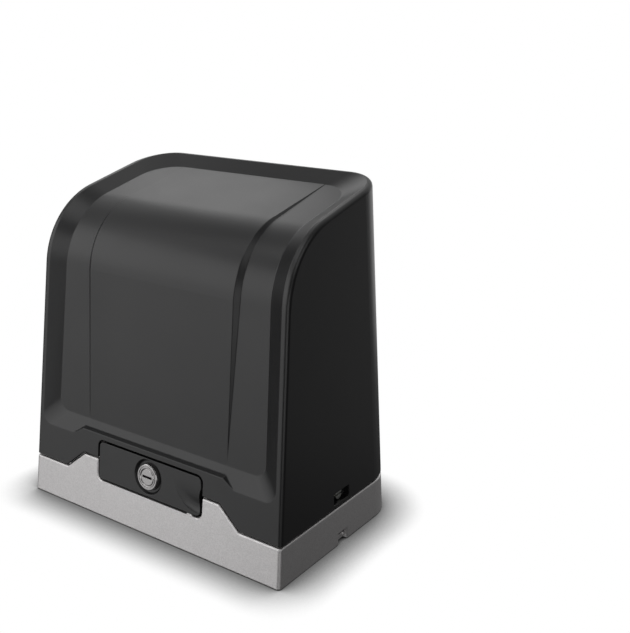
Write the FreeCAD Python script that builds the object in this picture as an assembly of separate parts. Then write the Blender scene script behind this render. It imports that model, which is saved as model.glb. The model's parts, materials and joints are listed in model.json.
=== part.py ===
import FreeCAD, Part
import math
import os

# Sliding-gate motor, in millimetres. X runs to the right, Y to the rear and Z up.
# The origin is the centre of the base's underside. The door and lock face -Y.

Vector = FreeCAD.Vector

# Casing, as the outside skin of hood and base together
base_width = 260.0
base_depth = 160.0
rear_height = 270.0
side_draft = 2.4
front_lean = 7.1
rear_draft = 1.3
roof_slope = 13.7
bend_radius = 65.0
rear_corner_radius = 33.0
edge_radius = 3.0
cover_wall = 3.0
base_wall = 4.0
base_floor = 5.0
overcut = 1.0
sharp_angle = 15.0

# Parting line between hood and base, and the lip that locates the hood
base_height = 31.5
front_raise = 15.6
raise_half_top = 71.0
raise_half_bottom = 90.0
parting_gap = 1.5
lip_height = 5.0
lip_thickness = 2.0
lip_clearance = 0.5
lip_end_gap = 1.0
tab_lip_gap = 3.0

# Sunk panel in the hood's front and roof
rim_width = 5.5
rear_rim_width = 4.5
recess_depth = 6.0
recess_slope_width = 14.0
recess_crest = 61.5
recess_corner_radius = 10.0
recess_rear_radius = 26.0
pad_top = 68.0
pad_half_top = 73.5
pad_side_run = 1.7
pad_ledge_rise = 0.5
tongue_half = 72.0
tongue_height = 3.2
tongue_roof_height = 1.5
tongue_end_height = 0.3
tongue_side_run = 1.25
bend_steps = 6

# Release door and its hinge
door_width = 107.0
door_bottom = 31.6
door_height = 30.6
door_corner_radius = 4.0
door_gap = 1.5
door_thickness = 2.2
door_flange_depth = 7.0
door_flange_thickness = 1.6
hinge_inset = 12.0
hinge_depth = 6.0
hinge_pin_radius = 1.5
knuckle_radius = 3.3
knuckle_height = 18.0
cam_radius = 6.5
cam_height = 11.0
cam_drop = 3.3
cam_lead_angle = 20.0
cam_over_angle = 8.0
release_angle = 85.0
release_travel = 4.0
scoop_radius = 33.0
scoop_nose = 10.0
scoop_tilt = 9.0
scoop_direction = 262.0
scoop_centre_up = 34.0
scoop_bite = 2.0
scoop_bite_radius = 30.0
scoop_bite_up = 11.5
nib_left = 39.6
nib_width = 6.9
nib_height = 1.1
nib_setback = 0.4
ear_thickness = 3.0
ear_radius = 3.2
bracket_thickness = 3.0
bracket_width = 26.0
bracket_setback = 15.0
bracket_foot_depth = 12.0

# Key lock in the door
lock_height = 47.6
lock_head_radius = 11.0
lock_face_radius = 10.2
lock_head_height = 3.6
lock_face_groove_radius = 8.3
lock_groove_width = 0.6
lock_edge_chamfer = 0.5
lock_body_radius = 9.0
lock_body_length = 10.0
lock_plug_radius = 6.6
lock_plug_sink = 0.2
lock_seat_radius = 14.0
lock_seat_run = 1.4
lock_seat_depth = 2.5
lock_nut_width = 24.0
lock_nut_thickness = 3.5
key_slot_length = 9.6
key_slot_width = 1.9
tongue_bar_width = 11.0
tongue_bar_length = 24.0
tongue_bar_thickness = 2.5
tongue_bar_corner = 2.0
strike_half = 10.0
strike_gap = 0.2

# Worm drive and output shaft
shaft_height = 50.0
gear_plane = 6.0
gear_module = 2.0
wheel_teeth = 30
wheel_width = 14.0
wheel_hub_radius = 16.0
wheel_hub_front = 14.0
wheel_dish_depth = 3.5
wheel_rim_wall = 5.4
wheel_dish_gap = 1.0
worm_pitch_radius = 11.0
worm_length = 40.0
worm_runout = 4.0
worm_thread_share = 0.38
wheel_gap_share = 0.585
worm_root_share = 1.2
tooth_root_share = 1.25
tooth_flank_angle = 20.0
flank_points = 4
shaft_radius = 10.0
collar_radius = 13.5
running_fit = 0.05
seat_fit = 0.02
dog_count = 4
dog_length = 3.0
dog_gap = 0.2
dog_angle = 38.0
dog_inner_radius = 14.0
dog_outer_radius = 22.0
clutch_rim = 1.0
clutch_length = 12.0
clutch_groove_depth = 2.5
clutch_groove_edge = 1.5
clutch_pin_radius = 2.5
clutch_pin_length = 39.6
rod_radius = 4.0
rod_gap = 0.35
spring_wire_radius = 1.1
spring_clearance = 0.8
spring_end_gap = 0.2
spring_turns = 5
collar_length = 4.0
collar_gap = 1.0
shaft_end_gap = 0.5

# Rolling bearings: output size and worm size
output_bearing_radius = 21.0
output_bearing_width = 12.0
bearing_outer_wall = 4.0
bearing_inner_wall = 3.5
bearing_shield_sink = 0.8
worm_bearing_bore = 6.0
worm_bearing_radius = 16.0
worm_bearing_width = 10.0

# Gear case
case_radius = 38.0
case_wall = 4.5
case_front = -30.0
case_front_step = 2.0
boss_radius = 26.0
boss_proud = 4.0
case_cover_thickness = 6.0
case_rib_count = 6
case_rib_height = 2.0
case_rib_width = 3.0
case_rib_end_gap = 1.0
case_screw_circle = 39.0
case_screw_angles = (0, 58, 122, 180, 228, 312)
case_lug_radius = 5.0
case_lug_length = 14.0
case_screw_radius = 2.0
case_screw_reach = 10.0
rod_hole_gap = 1.0
tunnel_overhang = 2.5
motor_offset = 7.5
motor_seat_thickness = 6.0
motor_seat_step = 6.0
foot_thickness = 8.0
foot_width = 20.0
foot_setback = 5.0
foot_clearance = 3.0
foot_bolt_radius = 4.0
foot_bolt_gap = 1.0
foot_boss_radius = 8.0
foot_end = 8.8
floor_skin = 1.0
saddle_clearance = 0.4
tab_margin = 6.0

# Rack pinion on the output shaft
pinion_teeth = 16
pinion_module = 4.0
pinion_width = 26.0
pinion_hub_length = 3.0
pinion_hub_radius = 18.0
pinion_clearance = 2.0
pinion_backlash = 0.3
pinion_key_width = 6.0
pinion_key_end_gap = 2.0
pinion_washer_radius = 15.0
pinion_washer_thickness = 2.5
pinion_screw_radius = 4.0
pinion_screw_length = 20.0
pinion_tap_depth = 22.0
seal_radius = 17.0
seal_width = 7.0
seal_gap = 5.7
seal_lip = 2.0

# Motor
stator_radius = 44.0
stator_groove_count = 7
stator_groove_width = 1.2
stator_groove_depth = 0.8
air_gap = 0.5
rotor_overhang = 3.0
motor_side_gap = 8.4
motor_bore_gap = 4.0
rotor_radius = 24.0
shield_radius = 46.0
shield_wall = 4.0
front_shield_length = 22.0
rear_shield_length = 26.0
winding_inner_radius = 27.0
winding_outer_radius = 38.0
winding_length = 10.0
winding_gap = 1.0
tie_bolt_circle = 41.5
tie_bolt_radius = 2.0
tie_bolt_angles = (45, 135, 225, 315)
tie_bolt_end_gap = 1.0
cooling_rib_count = 12
cooling_slot_depth = 2.5
cooling_slot_width = 8.0
cooling_slot_inset = 4.0

# Control board on its stand
shelf_clearance = 9.0
sheet_thickness = 2.0
stand_left = 20.0
stand_right = 85.0
stand_gap = 3.0
stand_wall_gap = 0.9
stand_screw_inset = 12.0
gusset_inset = 10.0
gusset_height = 14.0
gusset_depth = 6.0
stand_window_margin = 16.0
stand_window_low = 44.0
stand_window_high = 110.0
stand_window_radius = 6.0
shelf_left = -85.0
shelf_right = 105.0
shelf_front = -35.0
board_width = 160.0
board_depth = 78.0
board_thickness = 1.6
board_corner_radius = 3.0
board_spacer_height = 8.0
board_spacer_radius = 3.5
board_spacer_inset = 6.0
board_centre_x = 5.0
board_centre_y = 11.0
post_radius = 5.0
post_offset = 18.0
post_seat_rim = 2.0
post_seat_rise = 2.5
transformer_width = 40.0
transformer_depth = 22.0
transformer_height = 33.6
transformer_inset = 12.0
transformer_shift = 6.0
coil_width = 24.8
coil_depth = 36.0
coil_low = 6.0
coil_high = 27.6
coil_corner_radius = 4.0
relay_size = (19.0, 15.5, 15.0)
relay_count = 3
relay_inset = 14.0
relay_gap = 3.0
terminal_count = 10
terminal_pitch = 7.5
terminal_inset = 2.0
terminal_depth = 11.0
terminal_height = 13.0
terminal_step_depth = 5.0
terminal_nose_height = 7.0
terminal_entry_width = 4.4
terminal_entry_low = 1.5
terminal_entry_high = 5.5
terminal_entry_depth = 4.0
terminal_screw_hole_radius = 2.0
terminal_screw_hole_depth = 4.0
terminal_screw_hole_y = 8.0

# Run capacitor under the motor
capacitor_radius = 17.0
capacitor_length = 65.0
capacitor_left = 22.0
capacitor_y = -38.0
capacitor_edge_radius = 2.0
capacitor_pin_length = 7.0
capacitor_pin_width = 6.0
capacitor_pin_thickness = 0.8
capacitor_pin_spacing = 12.0
clip_width = 14.0
clip_thickness = 1.5
clip_tab = 12.0
clip_tab_thickness = 3.0
clip_lift = 1.0

# Floor fixings and cable entry
slot_spacing_x = 210.0
slot_spacing_y = 104.0
slot_length = 24.0
slot_width = 11.0
cable_x = 62.0
cable_y = 30.0
cable_bore_radius = 12.0
grommet_neck_radius = 16.0
grommet_flange_radius = 20.0
grommet_flange_thickness = 3.0
grommet_raise = 0.5
side_notch_width = 11.0
side_notch_height = 9.0

# Screws and the pockets of the hood's side screws
small_screw_radius = 2.0
small_screw_depth = 4.0
small_screw_end_gap = 0.5
hex_flats_share = 3.25
hex_height_share = 1.3
pocket_width = 20.0
pocket_bottom = 35.0
pocket_height = 9.0
pocket_depth = 6.0
cover_screw_radius = 2.5
cover_screw_head_radius = 4.0
cover_screw_head_height = 3.0
cover_screw_tip = 3.0
cover_ear_half = 9.0
cover_ear_thickness = 3.0
face_gap = 0.3

# Room that any cutting shape may take
reach = base_width


def sine(angle):
    return math.sin(math.radians(angle))


def cosine(angle):
    return math.cos(math.radians(angle))


def tangent(angle):
    return math.tan(math.radians(angle))


# Casing planes: where the skin lies at a height, moved inwards by an inset

def front_y(z, inset=0.0):
    return z * tangent(front_lean) - base_depth / 2 + inset / cosine(front_lean)


def rear_y(z, inset=0.0):
    return base_depth / 2 - z * tangent(rear_draft) - inset / cosine(rear_draft)


def side_x(z, inset=0.0):
    return base_width / 2 - z * tangent(side_draft) - inset / cosine(side_draft)


# Sizes that follow from the ones above
shaft_x = hinge_inset - door_width / 2
hinge_up = door_bottom + door_height / 2
wheel_pitch_radius = gear_module * wheel_teeth / 2
wheel_tip_radius = wheel_pitch_radius + gear_module
wheel_front = gear_plane - wheel_width / 2
wheel_rear = gear_plane + wheel_width / 2
worm_height = shaft_height + wheel_pitch_radius + worm_pitch_radius
worm_tip_radius = worm_pitch_radius + gear_module
worm_root_radius = worm_pitch_radius - worm_root_share * gear_module
worm_lead = math.pi * gear_module
clutch_front = wheel_rear + dog_length + dog_gap
clutch_rear = clutch_front + clutch_length
clutch_pin_y = clutch_front + clutch_length / 2
seal_front = rear_y(shaft_height) - seal_width
rear_bearing_y = seal_front - seal_gap - output_bearing_width
spring_rear = rear_bearing_y - collar_length
spring_length = spring_rear - clutch_rear
case_rear_inner = rear_bearing_y - collar_length / 2
case_bore = case_radius - case_wall
front_bearing_y = case_front - case_front_step
tunnel_radius = worm_bearing_radius + case_wall
tunnel_left = shaft_x - case_radius - tunnel_overhang
motor_front = shaft_x + case_radius + motor_offset
motor_rear = side_x(worm_height, cover_wall) - hex_height_share * tie_bolt_radius - motor_side_gap
stator_front = motor_front + front_shield_length
stator_rear = motor_rear - rear_shield_length
stator_length = stator_rear - stator_front
shelf_height = worm_height + shield_radius + shelf_clearance
stand_y = gear_plane + shield_radius + stand_gap
stand_foot_depth = rear_y(base_floor, base_wall) - stand_wall_gap - stand_y - sheet_thickness


def bend_centre():
    """Centre (y, z) of the bend between front and roof."""
    rear_edge = rear_y(rear_height)
    start = rear_height - rear_edge * tangent(roof_slope) - bend_radius / cosine(roof_slope)
    across = bend_radius / cosine(front_lean) - base_depth / 2
    z = (start + across * tangent(roof_slope)) / (1 - tangent(roof_slope) * tangent(front_lean))
    return front_y(z, bend_radius), z


def bend_point(angle, radius):
    """Point on the bend at an angle from +Y towards +Z."""
    y, z = bend_centre()
    return Vector(0, y + radius * cosine(angle), z + radius * sine(angle))


bend_front_angle = 180.0 - front_lean
bend_roof_angle = 90.0 + roof_slope
bend_start = bend_point(bend_front_angle, bend_radius)
bend_end = bend_point(bend_roof_angle, bend_radius)
front_length = bend_start.z / cosine(front_lean)
roof_length = (rear_y(rear_height) - bend_end.y) / cosine(roof_slope)


# Small building helpers

def box(x0, x1, y0, y1, z0, z1):
    return Part.makeBox(x1 - x0, y1 - y0, z1 - z0, Vector(x0, y0, z0))


def rod_x(radius, x0, x1, y, z):
    return Part.makeCylinder(radius, x1 - x0, Vector(x0, y, z), Vector(1, 0, 0))


def rod_y(radius, y0, y1, x=None, z=None):
    """Cylinder along Y, on the output shaft's axis unless another place is given."""
    place = Vector(shaft_x if x is None else x, y0, shaft_height if z is None else z)
    return Part.makeCylinder(radius, y1 - y0, place, Vector(0, 1, 0))


def rod_z(radius, z0, z1, x, y):
    return Part.makeCylinder(radius, z1 - z0, Vector(x, y, z0), Vector(0, 0, 1))


def fused(shapes):
    return shapes[0].multiFuse(shapes[1:]).removeSplitter()


def hexagon(across_flats):
    """Corner points (a, b) of a hexagon."""
    radius = across_flats / math.sqrt(3)
    return [(radius * cosine(60 * i), radius * sine(60 * i), 0) for i in range(6)]


def rounded_wire(corners, place):
    """Closed wire through corners (a, b, radius); place turns (a, b) into a point."""
    spans = []
    for i, (a, b, radius) in enumerate(corners):
        after = corners[(i + 1) % len(corners)]
        here = Vector(a, b, 0)
        back = (Vector(corners[i - 1][0], corners[i - 1][1], 0) - here).normalize()
        ahead = (Vector(after[0], after[1], 0) - here).normalize()
        half = back.getAngle(ahead) / 2
        trim = radius / math.tan(half)
        middle = here + (back + ahead).normalize() * (radius / math.sin(half) - radius)
        spans.append((here + back * trim, middle, here + ahead * trim, radius))
    edges = []
    for i, (start, middle, end, radius) in enumerate(spans):
        if radius > 0:
            bow = Part.Arc(place(start.x, start.y), place(middle.x, middle.y), place(end.x, end.y))
            edges.append(bow.toShape())
        following = spans[(i + 1) % len(spans)][0]
        edges.append(Part.LineSegment(place(end.x, end.y), place(following.x, following.y)).toShape())
    return Part.Wire(edges)


def at_y(y):
    return lambda a, b: Vector(a, y, b)


def prism_y(corners, y0, y1):
    """Outline (x, z, radius) drawn out along Y."""
    return Part.Face(rounded_wire(corners, at_y(y0))).extrude(Vector(0, y1 - y0, 0))


def prism_x(corners, x0, x1):
    """Outline (y, z, radius) drawn out along X."""
    return Part.Face(rounded_wire(corners, lambda a, b: Vector(x0, a, b))).extrude(Vector(x1 - x0, 0, 0))


def prism_z(corners, z0, z1):
    """Outline (x, y, radius) drawn out along Z."""
    return Part.Face(rounded_wire(corners, lambda a, b: Vector(a, b, z0))).extrude(Vector(0, 0, z1 - z0))


def to_front(shape):
    """Lean a shape drawn upright, with Y as depth and Z up the face, onto the casing's front."""
    lean = FreeCAD.Placement(Vector(0, front_y(0), 0), FreeCAD.Rotation(Vector(1, 0, 0), -front_lean))
    placed = shape.copy()
    placed.Placement = lean.multiply(shape.Placement)
    return placed


def front_point(depth):
    """Place of (x, distance up the front) at a depth under the front skin."""
    return lambda a, b: Vector(
        a,
        front_y(0) + b * sine(front_lean) + depth * cosine(front_lean),
        b * cosine(front_lean) - depth * sine(front_lean),
    )


def roof_point(depth):
    """Place of (x, distance along the roof from the bend) at a depth under the roof skin."""
    return lambda a, b: Vector(
        a,
        bend_end.y + b * cosine(roof_slope) + depth * sine(roof_slope),
        bend_end.z + b * sine(roof_slope) - depth * cosine(roof_slope),
    )


def sharp_edges(shape, bottom):
    """Edges between faces that meet at an angle, apart from those on the bottom plane."""
    found = []
    for edge in shape.Edges:
        middle = edge.valueAt((edge.FirstParameter + edge.LastParameter) / 2)
        if abs(middle.z - bottom) < 1e-6:
            continue
        normals = []
        for face in shape.ancestorsOfType(edge, Part.Face):
            normals.append(face.normalAt(*face.Surface.parameter(middle)))
        if len(normals) == 2 and normals[0].getAngle(normals[1]) > math.radians(sharp_angle):
            found.append(edge)
    return found


# Casing skin

def casing_block(inset, bottom):
    """The whole casing as one solid, its skin moved inwards by an inset, above a bottom plane."""
    radius = bend_radius - inset
    start = bend_point(bend_front_angle, radius)
    middle = bend_point((bend_front_angle + bend_roof_angle) / 2, radius)
    end = bend_point(bend_roof_angle, radius)
    rear_foot = base_depth / 2 - inset / cosine(rear_draft)
    ridge = end.z + (rear_foot - end.y) * tangent(roof_slope)
    ridge = ridge / (1 + tangent(rear_draft) * tangent(roof_slope))
    corner = Vector(0, rear_y(ridge, inset), ridge)
    front_low = Vector(0, front_y(bottom, inset), bottom)
    rear_low = Vector(0, rear_y(bottom, inset), bottom)
    edges = [
        Part.LineSegment(front_low, start).toShape(),
        Part.Arc(start, middle, end).toShape(),
        Part.LineSegment(end, corner).toShape(),
        Part.LineSegment(corner, rear_low).toShape(),
        Part.LineSegment(rear_low, front_low).toShape(),
    ]
    profile = Part.Face(Part.Wire(edges))
    profile.translate(Vector(-reach, 0, 0))
    slab = profile.extrude(Vector(2 * reach, 0, 0))
    head = rear_height + reach
    low_half = side_x(bottom, inset)
    high_half = side_x(head, inset)
    outline = [(-low_half, bottom, 0), (low_half, bottom, 0), (high_half, head, 0), (-high_half, head, 0)]
    block = slab.common(prism_y(outline, -reach, reach))
    uprights = []
    for edge in block.Edges:
        first, last = edge.Vertexes[0].Point, edge.Vertexes[-1].Point
        at_rear = all(abs(p.y - rear_y(p.z, inset)) < 1e-3 for p in (first, last))
        at_side = all(abs(abs(p.x) - side_x(p.z, inset)) < 1e-3 for p in (first, last))
        if at_rear and at_side and first.x * last.x > 0:
            uprights.append(edge)
    block = block.makeFillet(rear_corner_radius - inset, uprights)
    if edge_radius > inset:
        block = block.makeFillet(edge_radius - inset, sharp_edges(block, bottom))
    return block


# Sunk panel and raised tongue

def recess_cutter(grow):
    """Volume of the sunk panel, with all its walls moved outwards by a growth."""
    run = recess_slope_width / recess_depth
    spread = grow * math.sqrt(1 + run * run)
    depth = recess_depth + grow
    proud = 2.0

    def half(z, level):
        return side_x(z) - rim_width + spread + run * level

    def front_layer(level):
        low = recess_crest - spread - run * level
        low_half = half(low * cosine(front_lean), level)
        high_half = half(bend_start.z, level)
        corners = [
            (-low_half, low, recess_corner_radius),
            (low_half, low, recess_corner_radius),
            (high_half, front_length, 0),
            (-high_half, front_length, 0),
        ]
        return rounded_wire(corners, front_point(-level))

    def bend_section(angle):
        skin = bend_point(angle, bend_radius)
        corners = []
        for side, level in ((-1, proud), (1, proud), (1, -depth), (-1, -depth)):
            point = bend_point(angle, bend_radius + level)
            point.x = side * half(skin.z, level)
            corners.append(point)
        return Part.makePolygon(corners + corners[:1])

    def roof_layer(level):
        far = roof_length - rear_rim_width + spread + run * level
        near_half = half(bend_end.z, level)
        far_half = half(bend_end.z + far * sine(roof_slope), level)
        corners = [
            (near_half, 0, 0),
            (far_half, far, recess_rear_radius),
            (-far_half, far, recess_rear_radius),
            (-near_half, 0, 0),
        ]
        return rounded_wire(corners, roof_point(-level))

    front = Part.makeLoft([front_layer(proud), front_layer(-depth)], True, True)
    sweep = bend_roof_angle - bend_front_angle
    sections = [bend_section(bend_front_angle + sweep * i / bend_steps) for i in range(bend_steps + 1)]
    bend = Part.makeLoft(sections, True, False)
    roof = Part.makeLoft([roof_layer(proud), roof_layer(-depth)], True, True)
    return front.multiFuse([bend, roof])


def pad():
    """Raised pad over the door: the skirt's plane carried up into the panel's lower slope."""
    def layer(depth):
        top = pad_top + pad_ledge_rise * depth
        low = recess_crest - recess_slope_width
        low_half = pad_half_top + (pad_top - low) * pad_side_run
        corners = [
            (-low_half, low + top - pad_top, 0),
            (low_half, low + top - pad_top, 0),
            (pad_half_top, top, 0),
            (-pad_half_top, top, 0),
        ]
        return rounded_wire(corners, front_point(depth))

    return Part.makeLoft([layer(-overcut), layer(recess_depth + 2 * overcut)], True, True)


def tongue():
    """Raised centre strip of the panel: highest where the bend starts, thin on the roof."""
    sunk = 1.0
    sweep = bend_roof_angle - bend_front_angle

    def section(place, along, height):
        top = -recess_depth + height
        root = -recess_depth - sunk
        root_half = tongue_half + tongue_side_run * (height + sunk)
        corners = [
            place(-root)(-root_half, along),
            place(-root)(root_half, along),
            place(-top)(tongue_half, along),
            place(-top)(-tongue_half, along),
        ]
        return Part.makePolygon(corners + corners[:1])

    def bend_section(share):
        def place(depth):
            return lambda a, b: bend_point(b, bend_radius - depth) + Vector(a, 0, 0)
        height = tongue_height + (tongue_roof_height - tongue_height) * share * share
        return section(place, bend_front_angle + sweep * share, height)

    low = recess_crest + recess_slope_width
    far = roof_length - rear_rim_width - recess_slope_width
    front = [section(front_point, low, 0), section(front_point, front_length, tongue_height)]
    roof = [section(roof_point, 0, tongue_roof_height), section(roof_point, far, tongue_end_height)]
    bend = [bend_section(i / bend_steps) for i in range(bend_steps + 1)]
    return [
        Part.makeLoft(front, True, True),
        Part.makeLoft(bend, True, False),
        Part.makeLoft(roof, True, True),
    ]


# Parting line, door opening and the rear opening for the gear case

def raise_outline(grow):
    """The base's raised front, drawn up the front face from inside the base, grown by a margin."""
    top = base_height + front_raise + grow
    foot = base_height / 2
    run = (raise_half_bottom - raise_half_top) / front_raise
    side = grow * (math.sqrt(1 + run * run) - run)
    top_half = raise_half_top + side
    foot_half = top_half + (top - foot) * run
    return [(-foot_half, foot, 0), (foot_half, foot, 0), (top_half, top, 0), (-top_half, top, 0)]


def door_opening(depth):
    """Opening for the door, right through a wall of the given depth."""
    half = door_width / 2 + door_gap
    low = door_bottom - door_gap
    high = door_bottom + door_height + door_gap
    radius = door_corner_radius + door_gap
    corners = [(-half, low, radius), (half, low, radius), (half, high, radius), (-half, high, radius)]
    return to_front(prism_y(corners, -reach / 10, depth))


def rear_tab_half():
    return boss_radius + tab_margin


def make_cover_shell():
    hood = casing_block(0, 0).cut(recess_cutter(0).cut(pad()))
    hood = hood.multiFuse(tongue())
    hood = hood.cut(casing_block(cover_wall, -overcut).cut(recess_cutter(cover_wall)))
    rim = base_height + parting_gap / 2
    pockets = []
    wells = []
    for side in (-1, 1):
        skin = side * side_x(pocket_bottom)
        inner = skin - side * (pocket_depth + cover_wall)
        back = skin - side * pocket_depth
        half = pocket_width / 2
        block = (min(skin, inner), max(skin, inner), -half - cover_wall, half + cover_wall)
        wells.append(box(*block, rim, pocket_bottom + pocket_height + cover_wall).common(casing_block(0, 0)))
        far = skin + side * cover_wall
        pocket_top = pocket_bottom + pocket_height
        pockets.append(box(min(back, far), max(back, far), -half, half, pocket_bottom, pocket_top))
        hole_z = pocket_bottom + pocket_height / 2
        hole_x = min(inner, back) - overcut
        hole_end = hole_x + cover_wall + 2 * overcut
        pockets.append(rod_x(cover_screw_radius + face_gap, hole_x, hole_end, 0, hole_z))
    hood = hood.multiFuse(wells)
    below = box(-reach, reach, -reach, reach, -reach, rim)
    front = to_front(prism_y(raise_outline(parting_gap), -reach / 10, cover_wall * 4))
    half = rear_tab_half() + parting_gap
    rear_low = box(shaft_x - half, shaft_x + half, base_depth / 4, base_depth, 0, shaft_height + parting_gap)
    rear_top = rod_y(boss_radius + parting_gap, base_depth / 4, base_depth)
    return hood.cut([below, front, door_opening(cover_wall * 4), rear_low, rear_top] + pockets)


def floor_slots():
    """Slots for the anchor studs, through the floor."""
    slots = []
    low, high = -overcut, base_floor + overcut
    half_run = (slot_length - slot_width) / 2
    half_width = slot_width / 2
    for x in (-slot_spacing_x / 2, slot_spacing_x / 2):
        for y in (-slot_spacing_y / 2, slot_spacing_y / 2):
            middle = box(x - half_run, x + half_run, y - half_width, y + half_width, low, high)
            ends = [rod_z(half_width, low, high, x + side * half_run, y) for side in (-1, 1)]
            slots.append(fused([middle] + ends))
    return slots


def gearbox_bolt_places():
    side = case_radius + foot_bolt_radius + foot_bolt_gap
    front = case_front + foot_setback + foot_width / 2
    rear = case_rear_inner + case_wall - foot_width / 2
    return [(x, y) for x in (shaft_x - side, shaft_x + side) for y in (front, rear)]


def bracket_screw_places():
    y = bracket_plate_y() + bracket_thickness + bracket_foot_depth / 2
    return [(shaft_x - bracket_width / 4, y), (shaft_x + bracket_width / 4, y)]


def stand_screw_places():
    y = stand_y + sheet_thickness + stand_foot_depth / 2
    return [(stand_left + stand_screw_inset, y), (stand_right - stand_screw_inset, y)]


def clip_screw_place():
    return clip_centre(), capacitor_y + capacitor_radius + clip_thickness + clip_tab / 2


def clip_centre():
    return capacitor_left + capacitor_length / 2


def bracket_plate_y():
    """Front face of the lever bracket's upright plate, at the floor."""
    return front_y(shaft_height, hinge_depth + bracket_setback)


def make_base_tray():
    top = base_height - parting_gap / 2
    block = casing_block(0, 0)
    tray = block.common(box(-reach, reach, -reach, reach, 0, top))
    tray = tray.cut(casing_block(base_wall, base_floor))
    raised = block.common(to_front(prism_y(raise_outline(0), -reach / 10, base_wall)))
    lip_inset = cover_wall + lip_clearance
    lip = casing_block(lip_inset, 0).cut(casing_block(lip_inset + lip_thickness, 0))
    lip = lip.common(box(-reach, reach, -reach, reach, base_height / 2, base_height + lip_height))
    half_raise = raise_half_bottom + lip_height
    lip = lip.cut(box(-half_raise, half_raise, -reach, 0, 0, reach))
    pocket_half = pocket_width / 2 + cover_wall + lip_end_gap
    lip = lip.cut(box(-reach, reach, -pocket_half, pocket_half, top, reach))
    tab_half = rear_tab_half()
    tab_room = tab_half + tab_lip_gap
    lip = lip.cut(box(shaft_x - tab_room, shaft_x + tab_room, 0, reach, top, reach))
    raised_lip = to_front(prism_y(raise_outline(lip_height), lip_inset, lip_inset + lip_thickness))
    tab = block.cut(casing_block(base_wall, 0))
    tab = tab.common(box(shaft_x - tab_half, shaft_x + tab_half, 0, reach, base_height / 2, shaft_height))
    strike_top = door_bottom - door_gap - strike_gap
    strike = box(-strike_half, strike_half, base_wall / 2, lock_body_length, base_height / 2, strike_top)
    strike = to_front(strike)
    pieces = [tray, raised, lip, raised_lip, tab, strike]
    for side in (-1, 1):
        outer = side_x(pocket_bottom) - pocket_depth - cover_wall - face_gap
        near, far = sorted((side * outer, side * (outer - cover_ear_thickness)))
        hole_z = pocket_bottom + pocket_height / 2
        ear_top = hole_z + pocket_height / 2
        ear = box(near, far, -cover_ear_half, cover_ear_half, base_floor - overcut, ear_top)
        slot_half = cover_screw_radius + face_gap
        slot = box(near - overcut, far + overcut, -slot_half, slot_half, hole_z, ear_top + overcut)
        pieces.append(ear.cut([slot, rod_x(slot_half, near - overcut, far + overcut, 0, hole_z)]))
    for x, y in gearbox_bolt_places():
        pieces.append(rod_z(foot_boss_radius, base_floor - overcut, base_floor + foot_clearance, x, y))
    body = fused(pieces)
    nib_low = door_bottom - door_gap
    nib = to_front(box(nib_left, nib_left + nib_width, nib_setback, base_wall,
                       nib_low - overcut, nib_low + nib_height))
    cuts = floor_slots()
    cuts.append(door_opening(lip_inset + lip_thickness + overcut))
    cuts.append(rod_y(boss_radius + saddle_clearance, base_depth / 4, base_depth))
    cuts.append(rod_z(grommet_neck_radius, -overcut, base_floor + overcut, cable_x, cable_y))
    notch = side_notch_width / 2
    cuts.append(box(-reach, reach, -notch, notch, -overcut, side_notch_height).cut(
        casing_block(base_wall, -2 * overcut)))
    for x, y in gearbox_bolt_places():
        cuts.append(rod_z(foot_bolt_radius, floor_skin, base_floor + foot_clearance + overcut, x, y))
    small = bracket_screw_places() + stand_screw_places() + [clip_screw_place()]
    for x, y in small:
        cuts.append(rod_z(small_screw_radius, base_floor - small_screw_depth, base_floor + overcut, x, y))
    return body.cut(cuts).fuse(nib).removeSplitter()


def make_cable_grommet():
    rubber = fused([
        rod_z(grommet_neck_radius - seat_fit, grommet_raise, base_floor, cable_x, cable_y),
        rod_z(grommet_flange_radius, base_floor, base_floor + grommet_flange_thickness, cable_x, cable_y),
    ])
    return rubber.cut(rod_z(cable_bore_radius, 0, reach, cable_x, cable_y))


# Release door, lock and linkage. Drawn upright, then leaned onto the front

def scoop_tool(grow):
    """Round-nosed cutter, tilted so that the finger scoop is deepest low on the door."""
    x, z = door_width / 2, door_bottom + scoop_centre_up
    tool = rod_y(scoop_radius + grow, -scoop_radius, grow, x, z)
    nose = [edge for edge in tool.Edges if abs(edge.BoundBox.YMin - grow) < 1e-6]
    tool = tool.makeFillet(scoop_nose + grow, nose)
    deep_x, deep_z = cosine(scoop_direction), sine(scoop_direction)
    tool.rotate(Vector(x, 0, z), Vector(-deep_z, 0, deep_x), scoop_tilt)
    return tool


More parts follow.
